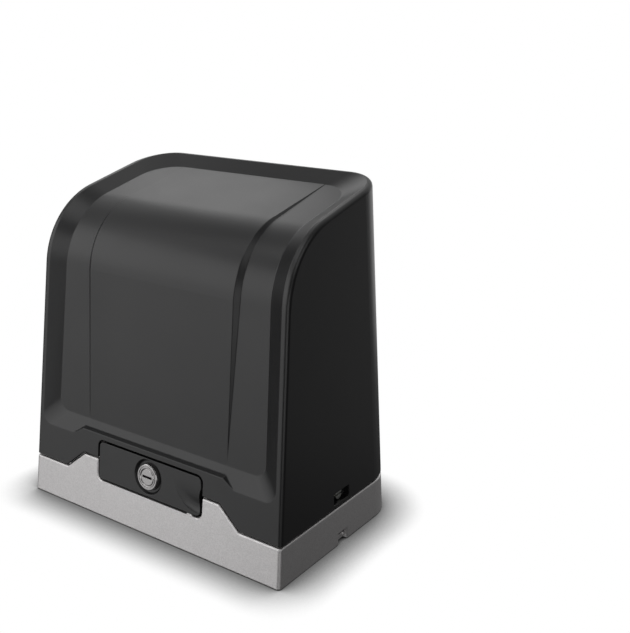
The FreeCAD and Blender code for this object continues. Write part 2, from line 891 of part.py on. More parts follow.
def make_release_lever():
    half = door_width / 2
    top = door_bottom + door_height

    def outline(inset):
        radius = door_corner_radius - inset
        return [(-half + inset, door_bottom + inset, radius), (half - inset, door_bottom + inset, radius),
                (half - inset, top - inset, radius), (-half + inset, top - inset, radius)]

    plate = prism_y(outline(0), 0, door_thickness)
    hollow = prism_y(outline(door_flange_thickness), -overcut, reach)
    flange = prism_y(outline(0), 0, door_flange_depth).cut(hollow)
    flange = flange.cut(box(-half - overcut, shaft_x + 2 * hinge_inset, door_thickness, reach, 0, reach))
    knuckle_low, knuckle_high = hinge_up - knuckle_height / 2, hinge_up + knuckle_height / 2
    neck = box(shaft_x - knuckle_radius, shaft_x + knuckle_radius, door_thickness / 2, hinge_depth,
               knuckle_low, knuckle_high)
    knuckle = rod_z(knuckle_radius, knuckle_low, knuckle_high, shaft_x, hinge_depth)
    pan = scoop_tool(door_thickness).common(prism_y(outline(door_flange_thickness / 2), 0, reach))
    seat_wall = rod_y(lock_seat_radius + door_thickness, 0, lock_seat_depth + door_thickness, 0, lock_height)
    seat_wall = seat_wall.common(prism_y(outline(0), 0, reach))
    lever = fused([plate, flange, neck, knuckle, pan, seat_wall, release_cam()])
    bore = rod_z(hinge_pin_radius + running_fit, 0, reach, shaft_x, hinge_depth)
    mouth = lock_seat_radius + lock_seat_run * overcut / lock_seat_depth
    seat = Part.makeCone(mouth, lock_seat_radius - lock_seat_run, lock_seat_depth + overcut,
                         Vector(0, -overcut, lock_height), Vector(0, 1, 0))
    hole = rod_y(lock_body_radius + seat_fit, -overcut, reach, 0, lock_height)
    bite = rod_y(scoop_bite_radius, -overcut, reach, half + scoop_bite_radius - scoop_bite,
                 door_bottom + scoop_bite_up)
    return to_front(lever.cut([bore, scoop_tool(0), seat, hole, bite]))


def release_cam():
    """Spiral cam round the hinge: its radius grows evenly as the door opens."""
    low = hinge_up - cam_drop
    steps = 10
    first, last = -cam_lead_angle, release_angle + cam_over_angle
    rate = release_travel / release_angle
    points = []
    for i in range(steps + 1):
        angle = first + (last - first) * i / steps
        radius = cam_radius + rate * angle
        points.append(Vector(shaft_x - radius * sine(angle), hinge_depth + radius * cosine(angle), low))
    spiral = Part.BSplineCurve()
    spiral.interpolate(points)
    centre = Vector(shaft_x, hinge_depth, low)
    edges = [spiral.toShape(), Part.LineSegment(points[-1], centre).toShape(),
             Part.LineSegment(centre, points[0]).toShape()]
    return Part.Face(Part.Wire(edges)).extrude(Vector(0, 0, cam_height))


def make_lever_pin():
    span = knuckle_height / 2 + ear_thickness + face_gap
    return to_front(rod_z(hinge_pin_radius, hinge_up - span, hinge_up + span, shaft_x, hinge_depth))


def make_lever_bracket():
    plate_y = bracket_plate_y()
    back = hinge_depth + bracket_setback
    half = bracket_width / 2
    knuckle_low, knuckle_high = hinge_up - knuckle_height / 2, hinge_up + knuckle_height / 2
    arms = []
    for low in (knuckle_low - face_gap - ear_thickness, knuckle_high + face_gap):
        high = low + ear_thickness
        arm = box(shaft_x - ear_radius, shaft_x + ear_radius, hinge_depth, back + 2 * bracket_thickness,
                  low, high)
        tip = rod_z(ear_radius, low, high, shaft_x, hinge_depth)
        hole = rod_z(hinge_pin_radius + seat_fit, low - overcut, high + overcut, shaft_x, hinge_depth)
        arms.append(to_front(arm.fuse(tip).cut(hole)))
    top = knuckle_high + ear_thickness * 2
    upright = box(shaft_x - half, shaft_x + half, plate_y, plate_y + bracket_thickness, base_floor, top)
    foot = box(shaft_x - half, shaft_x + half, plate_y, plate_y + bracket_thickness + bracket_foot_depth,
               base_floor, base_floor + bracket_thickness)
    behind = box(-reach, reach, plate_y + bracket_thickness, reach, base_floor + bracket_thickness, reach)
    body = fused([upright, foot] + [arm.cut(behind) for arm in arms])
    cuts = [rod_y(rod_radius + running_fit, -reach, reach)]
    for x, y in bracket_screw_places():
        cuts.append(rod_z(small_screw_radius + seat_fit, 0, base_floor + bracket_thickness + overcut, x, y))
    return body.cut(cuts)


def small_screw(x, y, seat, depth):
    """Pan-head screw standing in the floor, its head on a seat height."""
    head_radius = small_screw_radius * 2
    head_height = small_screw_radius * 1.2
    shank = rod_z(small_screw_radius - seat_fit, base_floor - depth, seat, x, y)
    head = rod_z(head_radius, seat, seat + head_height, x, y)
    slot_half = small_screw_radius * 0.2
    slot = box(x - head_radius, x + head_radius, y - slot_half, y + slot_half,
               seat + head_height * 0.5, seat + head_height * 2)
    return shank.fuse(head).cut(slot).removeSplitter()


def small_screws(places, seat):
    """Screws in the floor at several places, their heads on one seat height."""
    depth = small_screw_depth - small_screw_end_gap
    return Part.makeCompound([small_screw(x, y, seat, depth) for x, y in places])


def make_bracket_screws():
    return small_screws(bracket_screw_places(), base_floor + bracket_thickness)


def lock_face_y():
    """Depth of the lock's face; it stands proud of the door."""
    return lock_seat_depth - lock_head_height


def lock_cone(front_radius, rear_radius, front, rear):
    """Cone on the lock's axis."""
    centre = Vector(0, front, lock_height)
    return Part.makeCone(front_radius, rear_radius, rear - front, centre, Vector(0, 1, 0))


def make_lock_housing():
    face = lock_face_y()
    head = lock_cone(lock_face_radius, lock_head_radius, face, lock_seat_depth)
    front_edges = [edge for edge in head.Edges if abs(edge.BoundBox.YMax - face) < 1e-6]
    head = head.makeChamfer(lock_edge_chamfer, front_edges)
    body = rod_y(lock_body_radius, lock_seat_depth, lock_body_length, 0, lock_height)
    bore_radius = lock_plug_radius + running_fit
    bore = rod_y(bore_radius, -reach, reach, 0, lock_height)
    mouth = lock_cone(bore_radius + lock_edge_chamfer, bore_radius, face, face + lock_edge_chamfer)
    groove_half = lock_groove_width / 2
    groove = rod_y(lock_face_groove_radius + groove_half, face, face + lock_groove_width, 0, lock_height)
    groove = groove.cut(rod_y(lock_face_groove_radius - groove_half, -reach, reach, 0, lock_height))
    return to_front(head.fuse(body).cut([bore, mouth, groove]).removeSplitter())


def make_lock_nut():
    start = lock_seat_depth + door_thickness
    corners = [(a, b + lock_height, radius) for a, b, radius in hexagon(lock_nut_width)]
    nut = prism_y(corners, start, start + lock_nut_thickness)
    return to_front(nut.cut(rod_y(lock_body_radius + seat_fit, -reach, reach, 0, lock_height)))


def make_lock_plug():
    front = lock_face_y() + lock_plug_sink
    plug = rod_y(lock_plug_radius, front, lock_body_length + face_gap, 0, lock_height)
    front_edges = [edge for edge in plug.Edges if abs(edge.BoundBox.YMax - front) < 1e-6]
    plug = plug.makeChamfer(lock_edge_chamfer, front_edges)
    stem_end = lock_body_length + face_gap + tongue_bar_thickness
    stem = rod_y(lock_plug_radius / 2, lock_body_length, stem_end, 0, lock_height)
    slot = box(-key_slot_length / 2, key_slot_length / 2, front - overcut, lock_body_length / 2,
               lock_height - key_slot_width / 2, lock_height + key_slot_width / 2)
    return to_front(plug.fuse(stem).cut(slot).removeSplitter())


def make_lock_tongue():
    start = lock_body_length + face_gap
    half = tongue_bar_width / 2
    low, high = lock_height - half, lock_height + half
    corners = [(-half, low, tongue_bar_corner), (tongue_bar_length, low, tongue_bar_corner),
               (tongue_bar_length, high, tongue_bar_corner), (-half, high, tongue_bar_corner)]
    bar = prism_y(corners, start, start + tongue_bar_thickness)
    return to_front(bar.cut(rod_y(lock_plug_radius / 2 + seat_fit, -reach, reach, 0, lock_height)))


def make_tongue_screw():
    start = lock_body_length + face_gap + tongue_bar_thickness
    corners = [(a, b + lock_height, radius) for a, b, radius in hexagon(lock_plug_radius * 1.3)]
    return to_front(prism_y(corners, start, start + lock_plug_radius * 0.45))


def make_push_rod():
    tip = front_y(shaft_height, hinge_depth + cam_radius + rod_gap)
    end = clutch_pin_y - clutch_pin_radius - rod_gap
    shank = rod_y(rod_radius, tip + rod_radius, end)
    ball = Part.makeSphere(rod_radius, Vector(shaft_x, tip + rod_radius, shaft_height))
    return shank.fuse(ball).removeSplitter()


# Gear train

def worm_pieces():
    y, z = gear_plane, worm_height
    core_half = worm_length / 2 + worm_runout
    core = rod_x(worm_root_radius, shaft_x - core_half, shaft_x + core_half, y, z)
    journal = worm_bearing_bore - running_fit
    spine = rod_x(journal, tunnel_left, motor_rear - shield_wall, y, z)
    flank = tangent(tooth_flank_angle)
    mid_half = worm_lead * worm_thread_share / 2
    thread_sink = 0.4
    root = worm_root_radius - thread_sink
    root_half = mid_half + (worm_pitch_radius - root) * flank
    tip_half = mid_half - gear_module * flank
    helix = Part.makeHelix(worm_lead, worm_length - worm_lead, worm_pitch_radius)
    corners = [Vector(root, 0, -root_half), Vector(worm_tip_radius, 0, -tip_half),
               Vector(worm_tip_radius, 0, tip_half), Vector(root, 0, root_half)]
    sweep = Part.BRepOffsetAPI.MakePipeShell(helix)
    sweep.setFrenetMode(True)
    sweep.add(Part.makePolygon(corners + corners[:1]))
    sweep.build()
    sweep.makeSolid()
    thread = sweep.shape()
    return spine, core, thread


def make_worm_shaft():
    """Worm and rotor shaft in one piece, its thread turned so that it sits in the wheel's top gap."""
    spine, core, thread = worm_pieces()
    start_angle = -180.0 * (worm_length - worm_lead) / worm_lead
    thread.rotate(Vector(0, 0, 0), Vector(0, 0, 1), start_angle)
    thread.rotate(Vector(0, 0, 0), Vector(0, 1, 0), 90)
    thread.translate(Vector(shaft_x - (worm_length - worm_lead) / 2, gear_plane, worm_height))
    return fused([spine, core, thread])


def make_worm_wheel():
    rim = rod_y(wheel_tip_radius, wheel_front, wheel_rear)
    hub = rod_y(wheel_hub_radius, wheel_front - wheel_hub_front / 2, wheel_rear)
    dish = rod_y(wheel_pitch_radius - wheel_rim_wall, wheel_front - overcut, wheel_front + wheel_dish_depth)
    dish = dish.cut(rod_y(wheel_hub_radius + wheel_dish_gap, -reach, reach))
    body = rim.cut(dish).fuse(hub)
    body = body.fuse(dog_ring(wheel_rear, 0))
    body = body.cut(rod_y(shaft_radius + running_fit, -reach, reach))
    flank = tangent(tooth_flank_angle)
    pitch = math.pi * gear_module
    mid_half = pitch * wheel_gap_share / 2
    root = wheel_pitch_radius - tooth_root_share * gear_module
    high = wheel_tip_radius + overcut
    corners = [(-mid_half + flank * (wheel_pitch_radius - root), root, 0),
               (mid_half - flank * (wheel_pitch_radius - root), root, 0),
               (mid_half + flank * (high - wheel_pitch_radius), high, 0),
               (-mid_half - flank * (high - wheel_pitch_radius), high, 0)]
    lead_slope = gear_module / (2 * worm_pitch_radius)
    length = wheel_width + 4 * overcut
    start = Vector(-lead_slope * length / 2, -length / 2, 0)
    face = Part.Face(rounded_wire(corners, lambda a, b: start + Vector(a, 0, b)))
    gap = face.extrude(Vector(lead_slope * length, length, 0))
    gaps = []
    for i in range(wheel_teeth):
        one = gap.copy()
        one.rotate(Vector(0, 0, 0), Vector(0, 1, 0), 360.0 * i / wheel_teeth)
        one.translate(Vector(shaft_x, gear_plane, shaft_height))
        gaps.append(one)
    return body.cut(gaps)


def dog_ring(front, turn):
    """Ring of clutch dogs standing on a face, turned about the shaft by an angle."""
    dogs = []
    for i in range(dog_count):
        angle = turn + 360.0 * i / dog_count
        dog = Part.makeCylinder(dog_outer_radius, dog_length, Vector(0, 0, 0), Vector(0, 1, 0), dog_angle)
        dog = dog.cut(Part.makeCylinder(dog_inner_radius, dog_length, Vector(0, 0, 0), Vector(0, 1, 0)))
        dog.rotate(Vector(0, 0, 0), Vector(0, 1, 0), angle)
        dog.translate(Vector(shaft_x, front, shaft_height))
        dogs.append(dog)
    return dogs[0].multiFuse(dogs[1:])


def make_dog_clutch():
    ring_radius = dog_outer_radius + clutch_rim
    ring = rod_y(ring_radius, clutch_front, clutch_rear)
    groove = rod_y(ring_radius + overcut, clutch_pin_y + clutch_pin_radius, clutch_rear - clutch_groove_edge)
    groove = groove.cut(rod_y(ring_radius - clutch_groove_depth, -reach, reach))
    dogs = dog_ring(clutch_front - dog_length, 180.0 / dog_count)
    body = ring.fuse(dogs).removeSplitter().cut(groove)
    bore = rod_y(shaft_radius + running_fit, -reach, reach)
    return body.cut([bore, clutch_pin_shape(clutch_pin_radius + seat_fit, clutch_pin_length * 2)])


def clutch_pin_shape(radius, length):
    low = shaft_height - length / 2
    return rod_z(radius, low, low + length, shaft_x, clutch_pin_y)


def make_clutch_pin():
    return clutch_pin_shape(clutch_pin_radius, clutch_pin_length)


def make_clutch_spring():
    coil_radius = shaft_radius + spring_wire_radius + spring_clearance
    ends = spring_wire_radius + spring_end_gap
    height = spring_length - 2 * ends
    helix = Part.makeLongHelix(height / spring_turns, height, coil_radius)
    wire = Part.Wire(Part.makeCircle(spring_wire_radius, Vector(coil_radius, 0, 0), Vector(0, 1, 0)))
    sweep = Part.BRepOffsetAPI.MakePipeShell(helix)
    sweep.setFrenetMode(True)
    sweep.add(wire)
    sweep.build()
    sweep.makeSolid()
    coil = sweep.shape()
    coil.rotate(Vector(0, 0, 0), Vector(1, 0, 0), -90)
    coil.translate(Vector(shaft_x, clutch_rear + ends, shaft_height))
    return coil


def make_wheel_spacer():
    start = front_bearing_y + output_bearing_width
    ring = rod_y(collar_radius, start, wheel_front - wheel_hub_front / 2 - face_gap)
    return ring.cut(rod_y(shaft_radius + seat_fit, -reach, reach))


def boss_end():
    return rear_y(shaft_height) + boss_proud


def pinion_front():
    return boss_end() + pinion_clearance


def pinion_rear():
    return pinion_front() + pinion_hub_length + pinion_width


def make_output_shaft():
    bar = rod_y(shaft_radius, front_bearing_y + shaft_end_gap, pinion_rear() - shaft_end_gap)
    collar = rod_y(collar_radius, spring_rear, rear_bearing_y)
    slot_half = clutch_pin_radius + running_fit
    slot_start = clutch_pin_y - clutch_pin_radius - rod_gap
    slot_end = clutch_pin_y + clutch_pin_radius + release_travel + rod_gap
    slot = box(shaft_x - slot_half, shaft_x + slot_half, slot_start, slot_end, 0, reach)
    bore = rod_y(rod_radius + running_fit, -reach, slot_end)
    tap = rod_y(pinion_screw_radius, pinion_rear() - pinion_tap_depth, reach)
    return bar.fuse(collar).cut([slot, bore, tap, key_block(seat_fit)]).removeSplitter()


def key_block(grow):
    half = pinion_key_width / 2 + grow
    low = shaft_height + shaft_radius - pinion_key_width / 2 - grow
    high = shaft_height + shaft_radius + pinion_key_width / 2 + grow
    front = pinion_front() + pinion_key_end_gap - grow
    rear = pinion_rear() - pinion_key_end_gap + grow
    return box(shaft_x - half, shaft_x + half, front, rear, low, high)


def make_pinion_key():
    return key_block(0)


def gear_outline(teeth, module, backlash):
    """Face of an involute spur gear round the origin, in the XZ plane."""
    pitch = module * teeth / 2
    base = pitch * cosine(tooth_flank_angle)
    tip = pitch + module
    root = pitch - tooth_root_share * module
    half = math.pi / (2 * teeth) - backlash / (2 * pitch)
    spread = tangent(tooth_flank_angle) - math.radians(tooth_flank_angle)

    def flank_angle(radius):
        if radius <= base:
            return half + spread
        roll = math.sqrt((radius / base) ** 2 - 1)
        return half + spread - (roll - math.atan(roll))

    def at(radius, angle):
        return Vector(radius * math.sin(angle), 0, radius * math.cos(angle))

    flank_low = max(base, root)
    flank_step = (tip - flank_low) / (flank_points - 1)
    radii = [flank_low + flank_step * i for i in range(flank_points)]
    edges = []
    for i in range(teeth):
        middle = 2 * math.pi * i / teeth
        following = 2 * math.pi * (i + 1) / teeth
        rising = [at(r, middle - flank_angle(r)) for r in radii]
        falling = [at(r, middle + flank_angle(r)) for r in reversed(radii)]
        up = Part.BSplineCurve()
        up.interpolate(rising)
        down = Part.BSplineCurve()
        down.interpolate(falling)
        low = at(root, middle - flank_angle(root))
        edges.append(Part.LineSegment(low, rising[0]).toShape())
        edges.append(up.toShape())
        edges.append(Part.Arc(rising[-1], at(tip, middle), falling[0]).toShape())
        edges.append(down.toShape())
        foot = at(root, middle + flank_angle(root))
        edges.append(Part.LineSegment(falling[-1], foot).toShape())
        next_low = at(root, following - flank_angle(root))
        edges.append(Part.Arc(foot, at(root, (middle + following) / 2), next_low).toShape())
    return Part.Face(Part.Wire(edges))


def make_drive_pinion():
    face = gear_outline(pinion_teeth, pinion_module, pinion_backlash)
    face.translate(Vector(shaft_x, pinion_front() + pinion_hub_length, shaft_height))
    gear = face.extrude(Vector(0, pinion_width, 0))
    hub = rod_y(pinion_hub_radius, pinion_front(), pinion_front() + pinion_hub_length)
    bore = rod_y(shaft_radius + seat_fit, -reach, reach)
    return gear.fuse(hub).cut([bore, key_block(seat_fit)]).removeSplitter()


def make_pinion_washer():
    start = pinion_rear()
    washer = rod_y(pinion_washer_radius, start, start + pinion_washer_thickness)
    return washer.cut(rod_y(pinion_screw_radius + seat_fit, -reach, reach))


def make_pinion_screw():
    seat = pinion_rear() + pinion_washer_thickness
    flats = pinion_screw_radius * hex_flats_share
    corners = [(a + shaft_x, b + shaft_height, radius) for a, b, radius in hexagon(flats)]
    head = prism_y(corners, seat, seat + pinion_screw_radius * hex_height_share)
    shank = rod_y(pinion_screw_radius - seat_fit, seat - pinion_screw_length, seat)
    return head.fuse(shank).removeSplitter()


def make_output_bearings():
    rings = []
    for start in (front_bearing_y, rear_bearing_y):
        end = start + output_bearing_width
        ring = rod_y(output_bearing_radius - seat_fit, start, end)
        inner = rod_y(shaft_radius + bearing_inner_wall, -reach, reach)
        for y0 in (start - overcut, end - bearing_shield_sink):
            groove = rod_y(output_bearing_radius - bearing_outer_wall, y0, y0 + overcut + bearing_shield_sink)
            ring = ring.cut(groove.cut(inner))
        rings.append(ring.cut(rod_y(shaft_radius + running_fit, -reach, reach)))
    return Part.makeCompound(rings)


def worm_bearing_starts():
    return [tunnel_left, motor_front - worm_bearing_width, motor_rear - worm_bearing_width - shield_wall]


def make_worm_bearings():
    rings = []
    for start in worm_bearing_starts():
        end = start + worm_bearing_width
        ring = rod_x(worm_bearing_radius - seat_fit, start, end, gear_plane, worm_height)
        bore = rod_x(worm_bearing_bore, start - overcut, end + overcut, gear_plane, worm_height)
        rings.append(ring.cut(bore))
    return Part.makeCompound(rings)


def make_output_seal():
    end = seal_front + seal_width
    ring = rod_y(seal_radius - seat_fit, seal_front, end)
    channel = rod_y(seal_radius - seal_lip, end - seal_lip, end + overcut)
    channel = channel.cut(rod_y(shaft_radius + seal_lip, -reach, reach))
    return ring.cut([channel, rod_y(shaft_radius + running_fit, -reach, reach)])


# Gear case

def case_screw_places():
    """Places (x, z) of the gear case's cover screws."""
    circle = case_screw_circle
    return [(shaft_x + circle * cosine(a), shaft_height + circle * sine(a)) for a in case_screw_angles]


def make_gearbox_housing():
    y, z = gear_plane, worm_height
    drum = rod_y(case_radius, case_front, case_rear_inner + case_wall)
    lug_end = case_front + case_lug_length
    lugs = [rod_y(case_lug_radius, case_front, lug_end, x, place_z) for x, place_z in case_screw_places()]
    tunnel = rod_x(tunnel_radius, tunnel_left - case_wall, motor_front, y, z)
    flange = rod_x(shield_radius - motor_seat_step, motor_front - motor_seat_thickness, motor_front, y, z)
    boss = rod_y(boss_radius, case_rear_inner, boss_end())
    low = base_floor + foot_clearance
    feet = []
    for x, foot_y in gearbox_bolt_places():
        near, far = sorted((x + math.copysign(foot_end, x - shaft_x), shaft_x))
        front, rear = foot_y - foot_width / 2, foot_y + foot_width / 2
        feet.append(box(near, far, front, rear, low, low + foot_thickness))
    seat = rod_z(post_radius + post_seat_rim, z, z + tunnel_radius + post_seat_rise, post_x(), y)
    body = fused([drum, tunnel, flange, boss, seat] + lugs + feet)
    cuts = [
        rod_y(case_bore, case_front - overcut, case_rear_inner),
        rod_x(worm_bearing_radius, tunnel_left, motor_front + overcut, y, z),
        rod_y(output_bearing_radius, case_rear_inner - overcut, rear_bearing_y + output_bearing_width),
        rod_y(collar_radius + collar_gap, case_rear_inner, reach),
        rod_y(seal_radius, seal_front, reach),
    ]
    screw_end = case_front + case_screw_reach + overcut
    for x, place_z in case_screw_places():
        cuts.append(rod_y(case_screw_radius, case_front - overcut, screw_end, x, place_z))
    for x, foot_y in gearbox_bolt_places():
        cuts.append(rod_z(foot_bolt_radius + face_gap, 0, low + foot_thickness + overcut, x, foot_y))
    return body.cut(cuts)


def make_gearbox_cover():
    front = case_front - case_cover_thickness
    plate = rod_y(case_radius, front, case_front)
    lugs = [rod_y(case_lug_radius, front, case_front, x, z) for x, z in case_screw_places()]
    boss = rod_y(output_bearing_radius + case_wall, front, front_bearing_y + output_bearing_width)
    rib_reach = case_bore - case_rib_end_gap
    rib_half = case_rib_width / 2
    ribs = []
    for i in range(case_rib_count):
        rib = box(-rib_reach, rib_reach, front - case_rib_height, front, -rib_half, rib_half)
        rib.rotate(Vector(0, 0, 0), Vector(0, 1, 0), 180.0 * i / case_rib_count)
        rib.translate(Vector(shaft_x, 0, shaft_height))
        ribs.append(rib)
    body = fused([plate, boss] + lugs + ribs)
    cuts = [rod_y(output_bearing_radius, front_bearing_y, 0), rod_y(rod_radius + rod_hole_gap, -reach, 0)]
    for x, z in case_screw_places():
        cuts.append(rod_y(case_screw_radius + face_gap, -reach, 0, x, z))
    return body.cut(cuts)


def make_gearbox_screws():
    seat = case_front - case_cover_thickness
    head_radius, head_height = case_screw_radius * 1.8, case_screw_radius * 2
    key_width, key_depth = case_screw_radius * 1.6, case_screw_radius
    screws = []
    for x, z in case_screw_places():
        head = rod_y(head_radius, seat - head_height, seat, x, z)
        corners = [(a + x, b + z, radius) for a, b, radius in hexagon(key_width)]
        socket = prism_y(corners, seat - head_height - overcut, seat - head_height + key_depth)
        shank = rod_y(case_screw_radius - seat_fit, seat, case_front + case_screw_reach, x, z)
        screws.append(head.cut(socket).fuse(shank))
    return Part.makeCompound(screws)


def make_gearbox_bolts():
    seat = base_floor + foot_clearance + foot_thickness
    bolts = []
    for x, y in gearbox_bolt_places():
        flats = foot_bolt_radius * hex_flats_share
        corners = [(a + x, b + y, radius) for a, b, radius in hexagon(flats)]
        head = prism_z(corners, seat, seat + foot_bolt_radius * hex_height_share)
        shank = rod_z(foot_bolt_radius - seat_fit, floor_skin + face_gap, seat, x, y)
        bolts.append(head.fuse(shank).removeSplitter())
    return Part.makeCompound(bolts)


# Motor

def tie_bolt_places():
    """Places (y, z) of the motor's through bolts."""
    circle = tie_bolt_circle
    return [(gear_plane + circle * cosine(a), worm_height + circle * sine(a)) for a in tie_bolt_angles]


def bolt_holes(x0, x1, clearance):
    return [rod_x(tie_bolt_radius + clearance, x0, x1, y, z) for y, z in tie_bolt_places()]


def make_motor_flange():
    y, z = gear_plane, worm_height
    bell = rod_x(shield_radius, motor_front, stator_front, y, z)
    hollow_start = motor_front + shield_wall * 2
    hollow = rod_x(winding_outer_radius + winding_gap, hollow_start, stator_front + overcut, y, z)
    bore = rod_x(worm_bearing_bore + motor_bore_gap, motor_front - overcut, stator_front, y, z)
    return bell.cut([hollow, bore] + bolt_holes(motor_front + shield_wall, stator_front + overcut, face_gap))


def make_motor_stator():
    y, z = gear_plane, worm_height
    stack = rod_x(stator_radius, stator_front, stator_rear, y, z)
    core = rod_x(stator_radius - stator_groove_depth, stator_front, stator_rear, y, z)
    half = stator_groove_width / 2
    grooves = []
    for i in range(stator_groove_count):
        x = stator_front + stator_length * (i + 1) / (stator_groove_count + 1)
        grooves.append(rod_x(stator_radius + overcut, x - half, x + half, y, z).cut(core))
    bore = rod_x(rotor_radius + air_gap, stator_front - overcut, stator_rear + overcut, y, z)
    return stack.cut(grooves + [bore] + bolt_holes(stator_front - overcut, stator_rear + overcut, face_gap))


def make_motor_windings():
    coils = []
    for x0 in (stator_front - winding_length, stator_rear):
        ring = rod_x(winding_outer_radius, x0, x0 + winding_length, gear_plane, worm_height)
        hole_end = x0 + winding_length + overcut
        hole = rod_x(winding_inner_radius, x0 - overcut, hole_end, gear_plane, worm_height)
        coils.append(ring.cut(hole))
    return Part.makeCompound(coils)


def make_motor_end_cap():
    y, z = gear_plane, worm_height
    cap = rod_x(shield_radius, stator_rear, motor_rear, y, z)
    bearing_start = worm_bearing_starts()[2]
    hollow = rod_x(winding_outer_radius + winding_gap, stator_rear - overcut, bearing_start, y, z)
    seat = rod_x(worm_bearing_radius, bearing_start - overcut, bearing_start + worm_bearing_width, y, z)
    cuts = [hollow, seat] + bolt_holes(stator_rear - overcut, motor_rear + overcut, face_gap)
    slot_start = stator_rear + winding_length + cooling_slot_inset
    slot_half = cooling_slot_width / 2
    for i in range(cooling_rib_count):
        slot = box(slot_start, motor_rear + overcut,
                   shield_radius - cooling_slot_depth, shield_radius + overcut, -slot_half, slot_half)
        slot.rotate(Vector(0, 0, 0), Vector(1, 0, 0), 360.0 * (i + 0.5) / cooling_rib_count)
        slot.translate(Vector(0, y, z))
        cuts.append(slot)
    return cap.cut(cuts)


def make_motor_tie_bolts():
    bolts = []
    start = motor_front + shield_wall + tie_bolt_end_gap
    flats = tie_bolt_radius * hex_flats_share
    for y, z in tie_bolt_places():
        shank = rod_x(tie_bolt_radius, start, motor_rear, y, z)
        corners = [(a + y, b + z, radius) for a, b, radius in hexagon(flats)]
        head = prism_x(corners, motor_rear, motor_rear + tie_bolt_radius * hex_height_share)
        bolts.append(shank.fuse(head).removeSplitter())
    return Part.makeCompound(bolts)


def make_rotor_core():
    start, end = stator_front - rotor_overhang, stator_rear + rotor_overhang
    core = rod_x(rotor_radius, start, end, gear_plane, worm_height)
    journal = worm_bearing_bore - running_fit
    return core.cut(rod_x(journal, -reach, reach, gear_plane, worm_height))


# Control board, its stand and the run capacitor

def post_x():
    return shaft_x - post_offset


def make_board_stand():
    rear = stand_y + sheet_thickness
    shelf_top = shelf_height + sheet_thickness
    shelf = box(shelf_left, shelf_right, shelf_front, rear, shelf_height, shelf_top)
    upright = box(stand_left, stand_right, stand_y, rear, base_floor, shelf_top)
    foot = box(stand_left, stand_right, stand_y, rear + stand_foot_depth,
               base_floor, base_floor + sheet_thickness)
    gussets = []
    for x in (stand_left + gusset_inset, stand_right - gusset_inset - sheet_thickness):
        corners = [(stand_y, shelf_height, 0), (stand_y, shelf_height - gusset_height, 0),
                   (stand_y - gusset_depth, shelf_height, 0)]
        gussets.append(prism_x(corners, x, x + sheet_thickness))
    body = fused([shelf, upright, foot] + gussets)
    cuts = []
    for x, y in stand_screw_places():
        cuts.append(rod_z(small_screw_radius + seat_fit, 0, base_floor + sheet_thickness + overcut, x, y))
    left, right = stand_left + stand_window_margin, stand_right - stand_window_margin
    radius = stand_window_radius
    window = [(left, stand_window_low, radius), (right, stand_window_low, radius),
              (right, stand_window_high, radius), (left, stand_window_high, radius)]
    cuts.append(prism_y(window, stand_y - overcut, rear + overcut))
    return body.cut(cuts)


def make_stand_screws():
    return small_screws(stand_screw_places(), base_floor + sheet_thickness)


def make_board_post():
    low = worm_height + tunnel_radius + post_seat_rise
    corners = [(a + post_x(), b + gear_plane, radius) for a, b, radius in hexagon(post_radius * 2)]
    return prism_z(corners, low, shelf_height)


def board_spacer_places():
    dx = board_width / 2 - board_spacer_inset
    dy = board_depth / 2 - board_spacer_inset
    return [(board_centre_x + sx * dx, board_centre_y + sy * dy) for sx in (-1, 1) for sy in (-1, 1)]


def board_low():
    return shelf_height + sheet_thickness + board_spacer_height


def board_top():
    return board_low() + board_thickness


def make_board_spacers():
    low, high = shelf_height + sheet_thickness, board_low()
    return Part.makeCompound([rod_z(board_spacer_radius, low, high, x, y) for x, y in board_spacer_places()])


def rounded_block(x, y, width, depth, radius, low, high):
    """Upright block round a centre (x, y), with rounded corners."""
    dx, dy = width / 2, depth / 2
    corners = [(x - dx, y - dy, radius), (x + dx, y - dy, radius),
               (x + dx, y + dy, radius), (x - dx, y + dy, radius)]
    return prism_z(corners, low, high)


def make_control_board():
    return rounded_block(board_centre_x, board_centre_y, board_width, board_depth, board_corner_radius,
                         board_low(), board_top())


def make_board_terminals():
    x0 = board_centre_x - terminal_pitch * terminal_count / 2
    y0 = board_centre_y - board_depth / 2 + terminal_inset
    low = board_top()
    high = low + terminal_height
    corners = [(y0, low, 0), (y0 + terminal_depth, low, 0), (y0 + terminal_depth, high, 0),
               (y0 + terminal_step_depth, high, 0), (y0, low + terminal_nose_height, 0)]
    strip = prism_x(corners, x0, x0 + terminal_pitch * terminal_count)
    entry_half = terminal_entry_width / 2
    holes = []
    for i in range(terminal_count):
        x = x0 + terminal_pitch * (i + 0.5)
        holes.append(box(x - entry_half, x + entry_half, y0 - overcut, y0 + terminal_entry_depth,
                         low + terminal_entry_low, low + terminal_entry_high))
        holes.append(rod_z(terminal_screw_hole_radius, high - terminal_screw_hole_depth, high + overcut,
                           x, y0 + terminal_screw_hole_y))
    return strip.cut(holes)


def make_board_relays():
    length, depth, height = relay_size
    left = board_centre_x - board_width / 2 + relay_inset
    rear = board_centre_y + board_depth / 2 - relay_inset
    relays = []
    for i in range(relay_count):
        x = left + i * (length + relay_gap)
        relays.append(box(x, x + length, rear - depth, rear, board_top(), board_top() + height))
    return Part.makeCompound(relays)


def make_transformer():
    x = board_centre_x + board_width / 2 - transformer_width / 2 - transformer_inset
    y = board_centre_y + transformer_shift
    low = board_top()
    half_width, half_depth = transformer_width / 2, transformer_depth / 2
    core = box(x - half_width, x + half_width, y - half_depth, y + half_depth, low, low + transformer_height)
    coil = rounded_block(x, y, coil_width, coil_depth, coil_corner_radius, low + coil_low, low + coil_high)
    return fused([core, coil])


def capacitor_z():
    return base_floor + capacitor_radius + clip_thickness + clip_lift


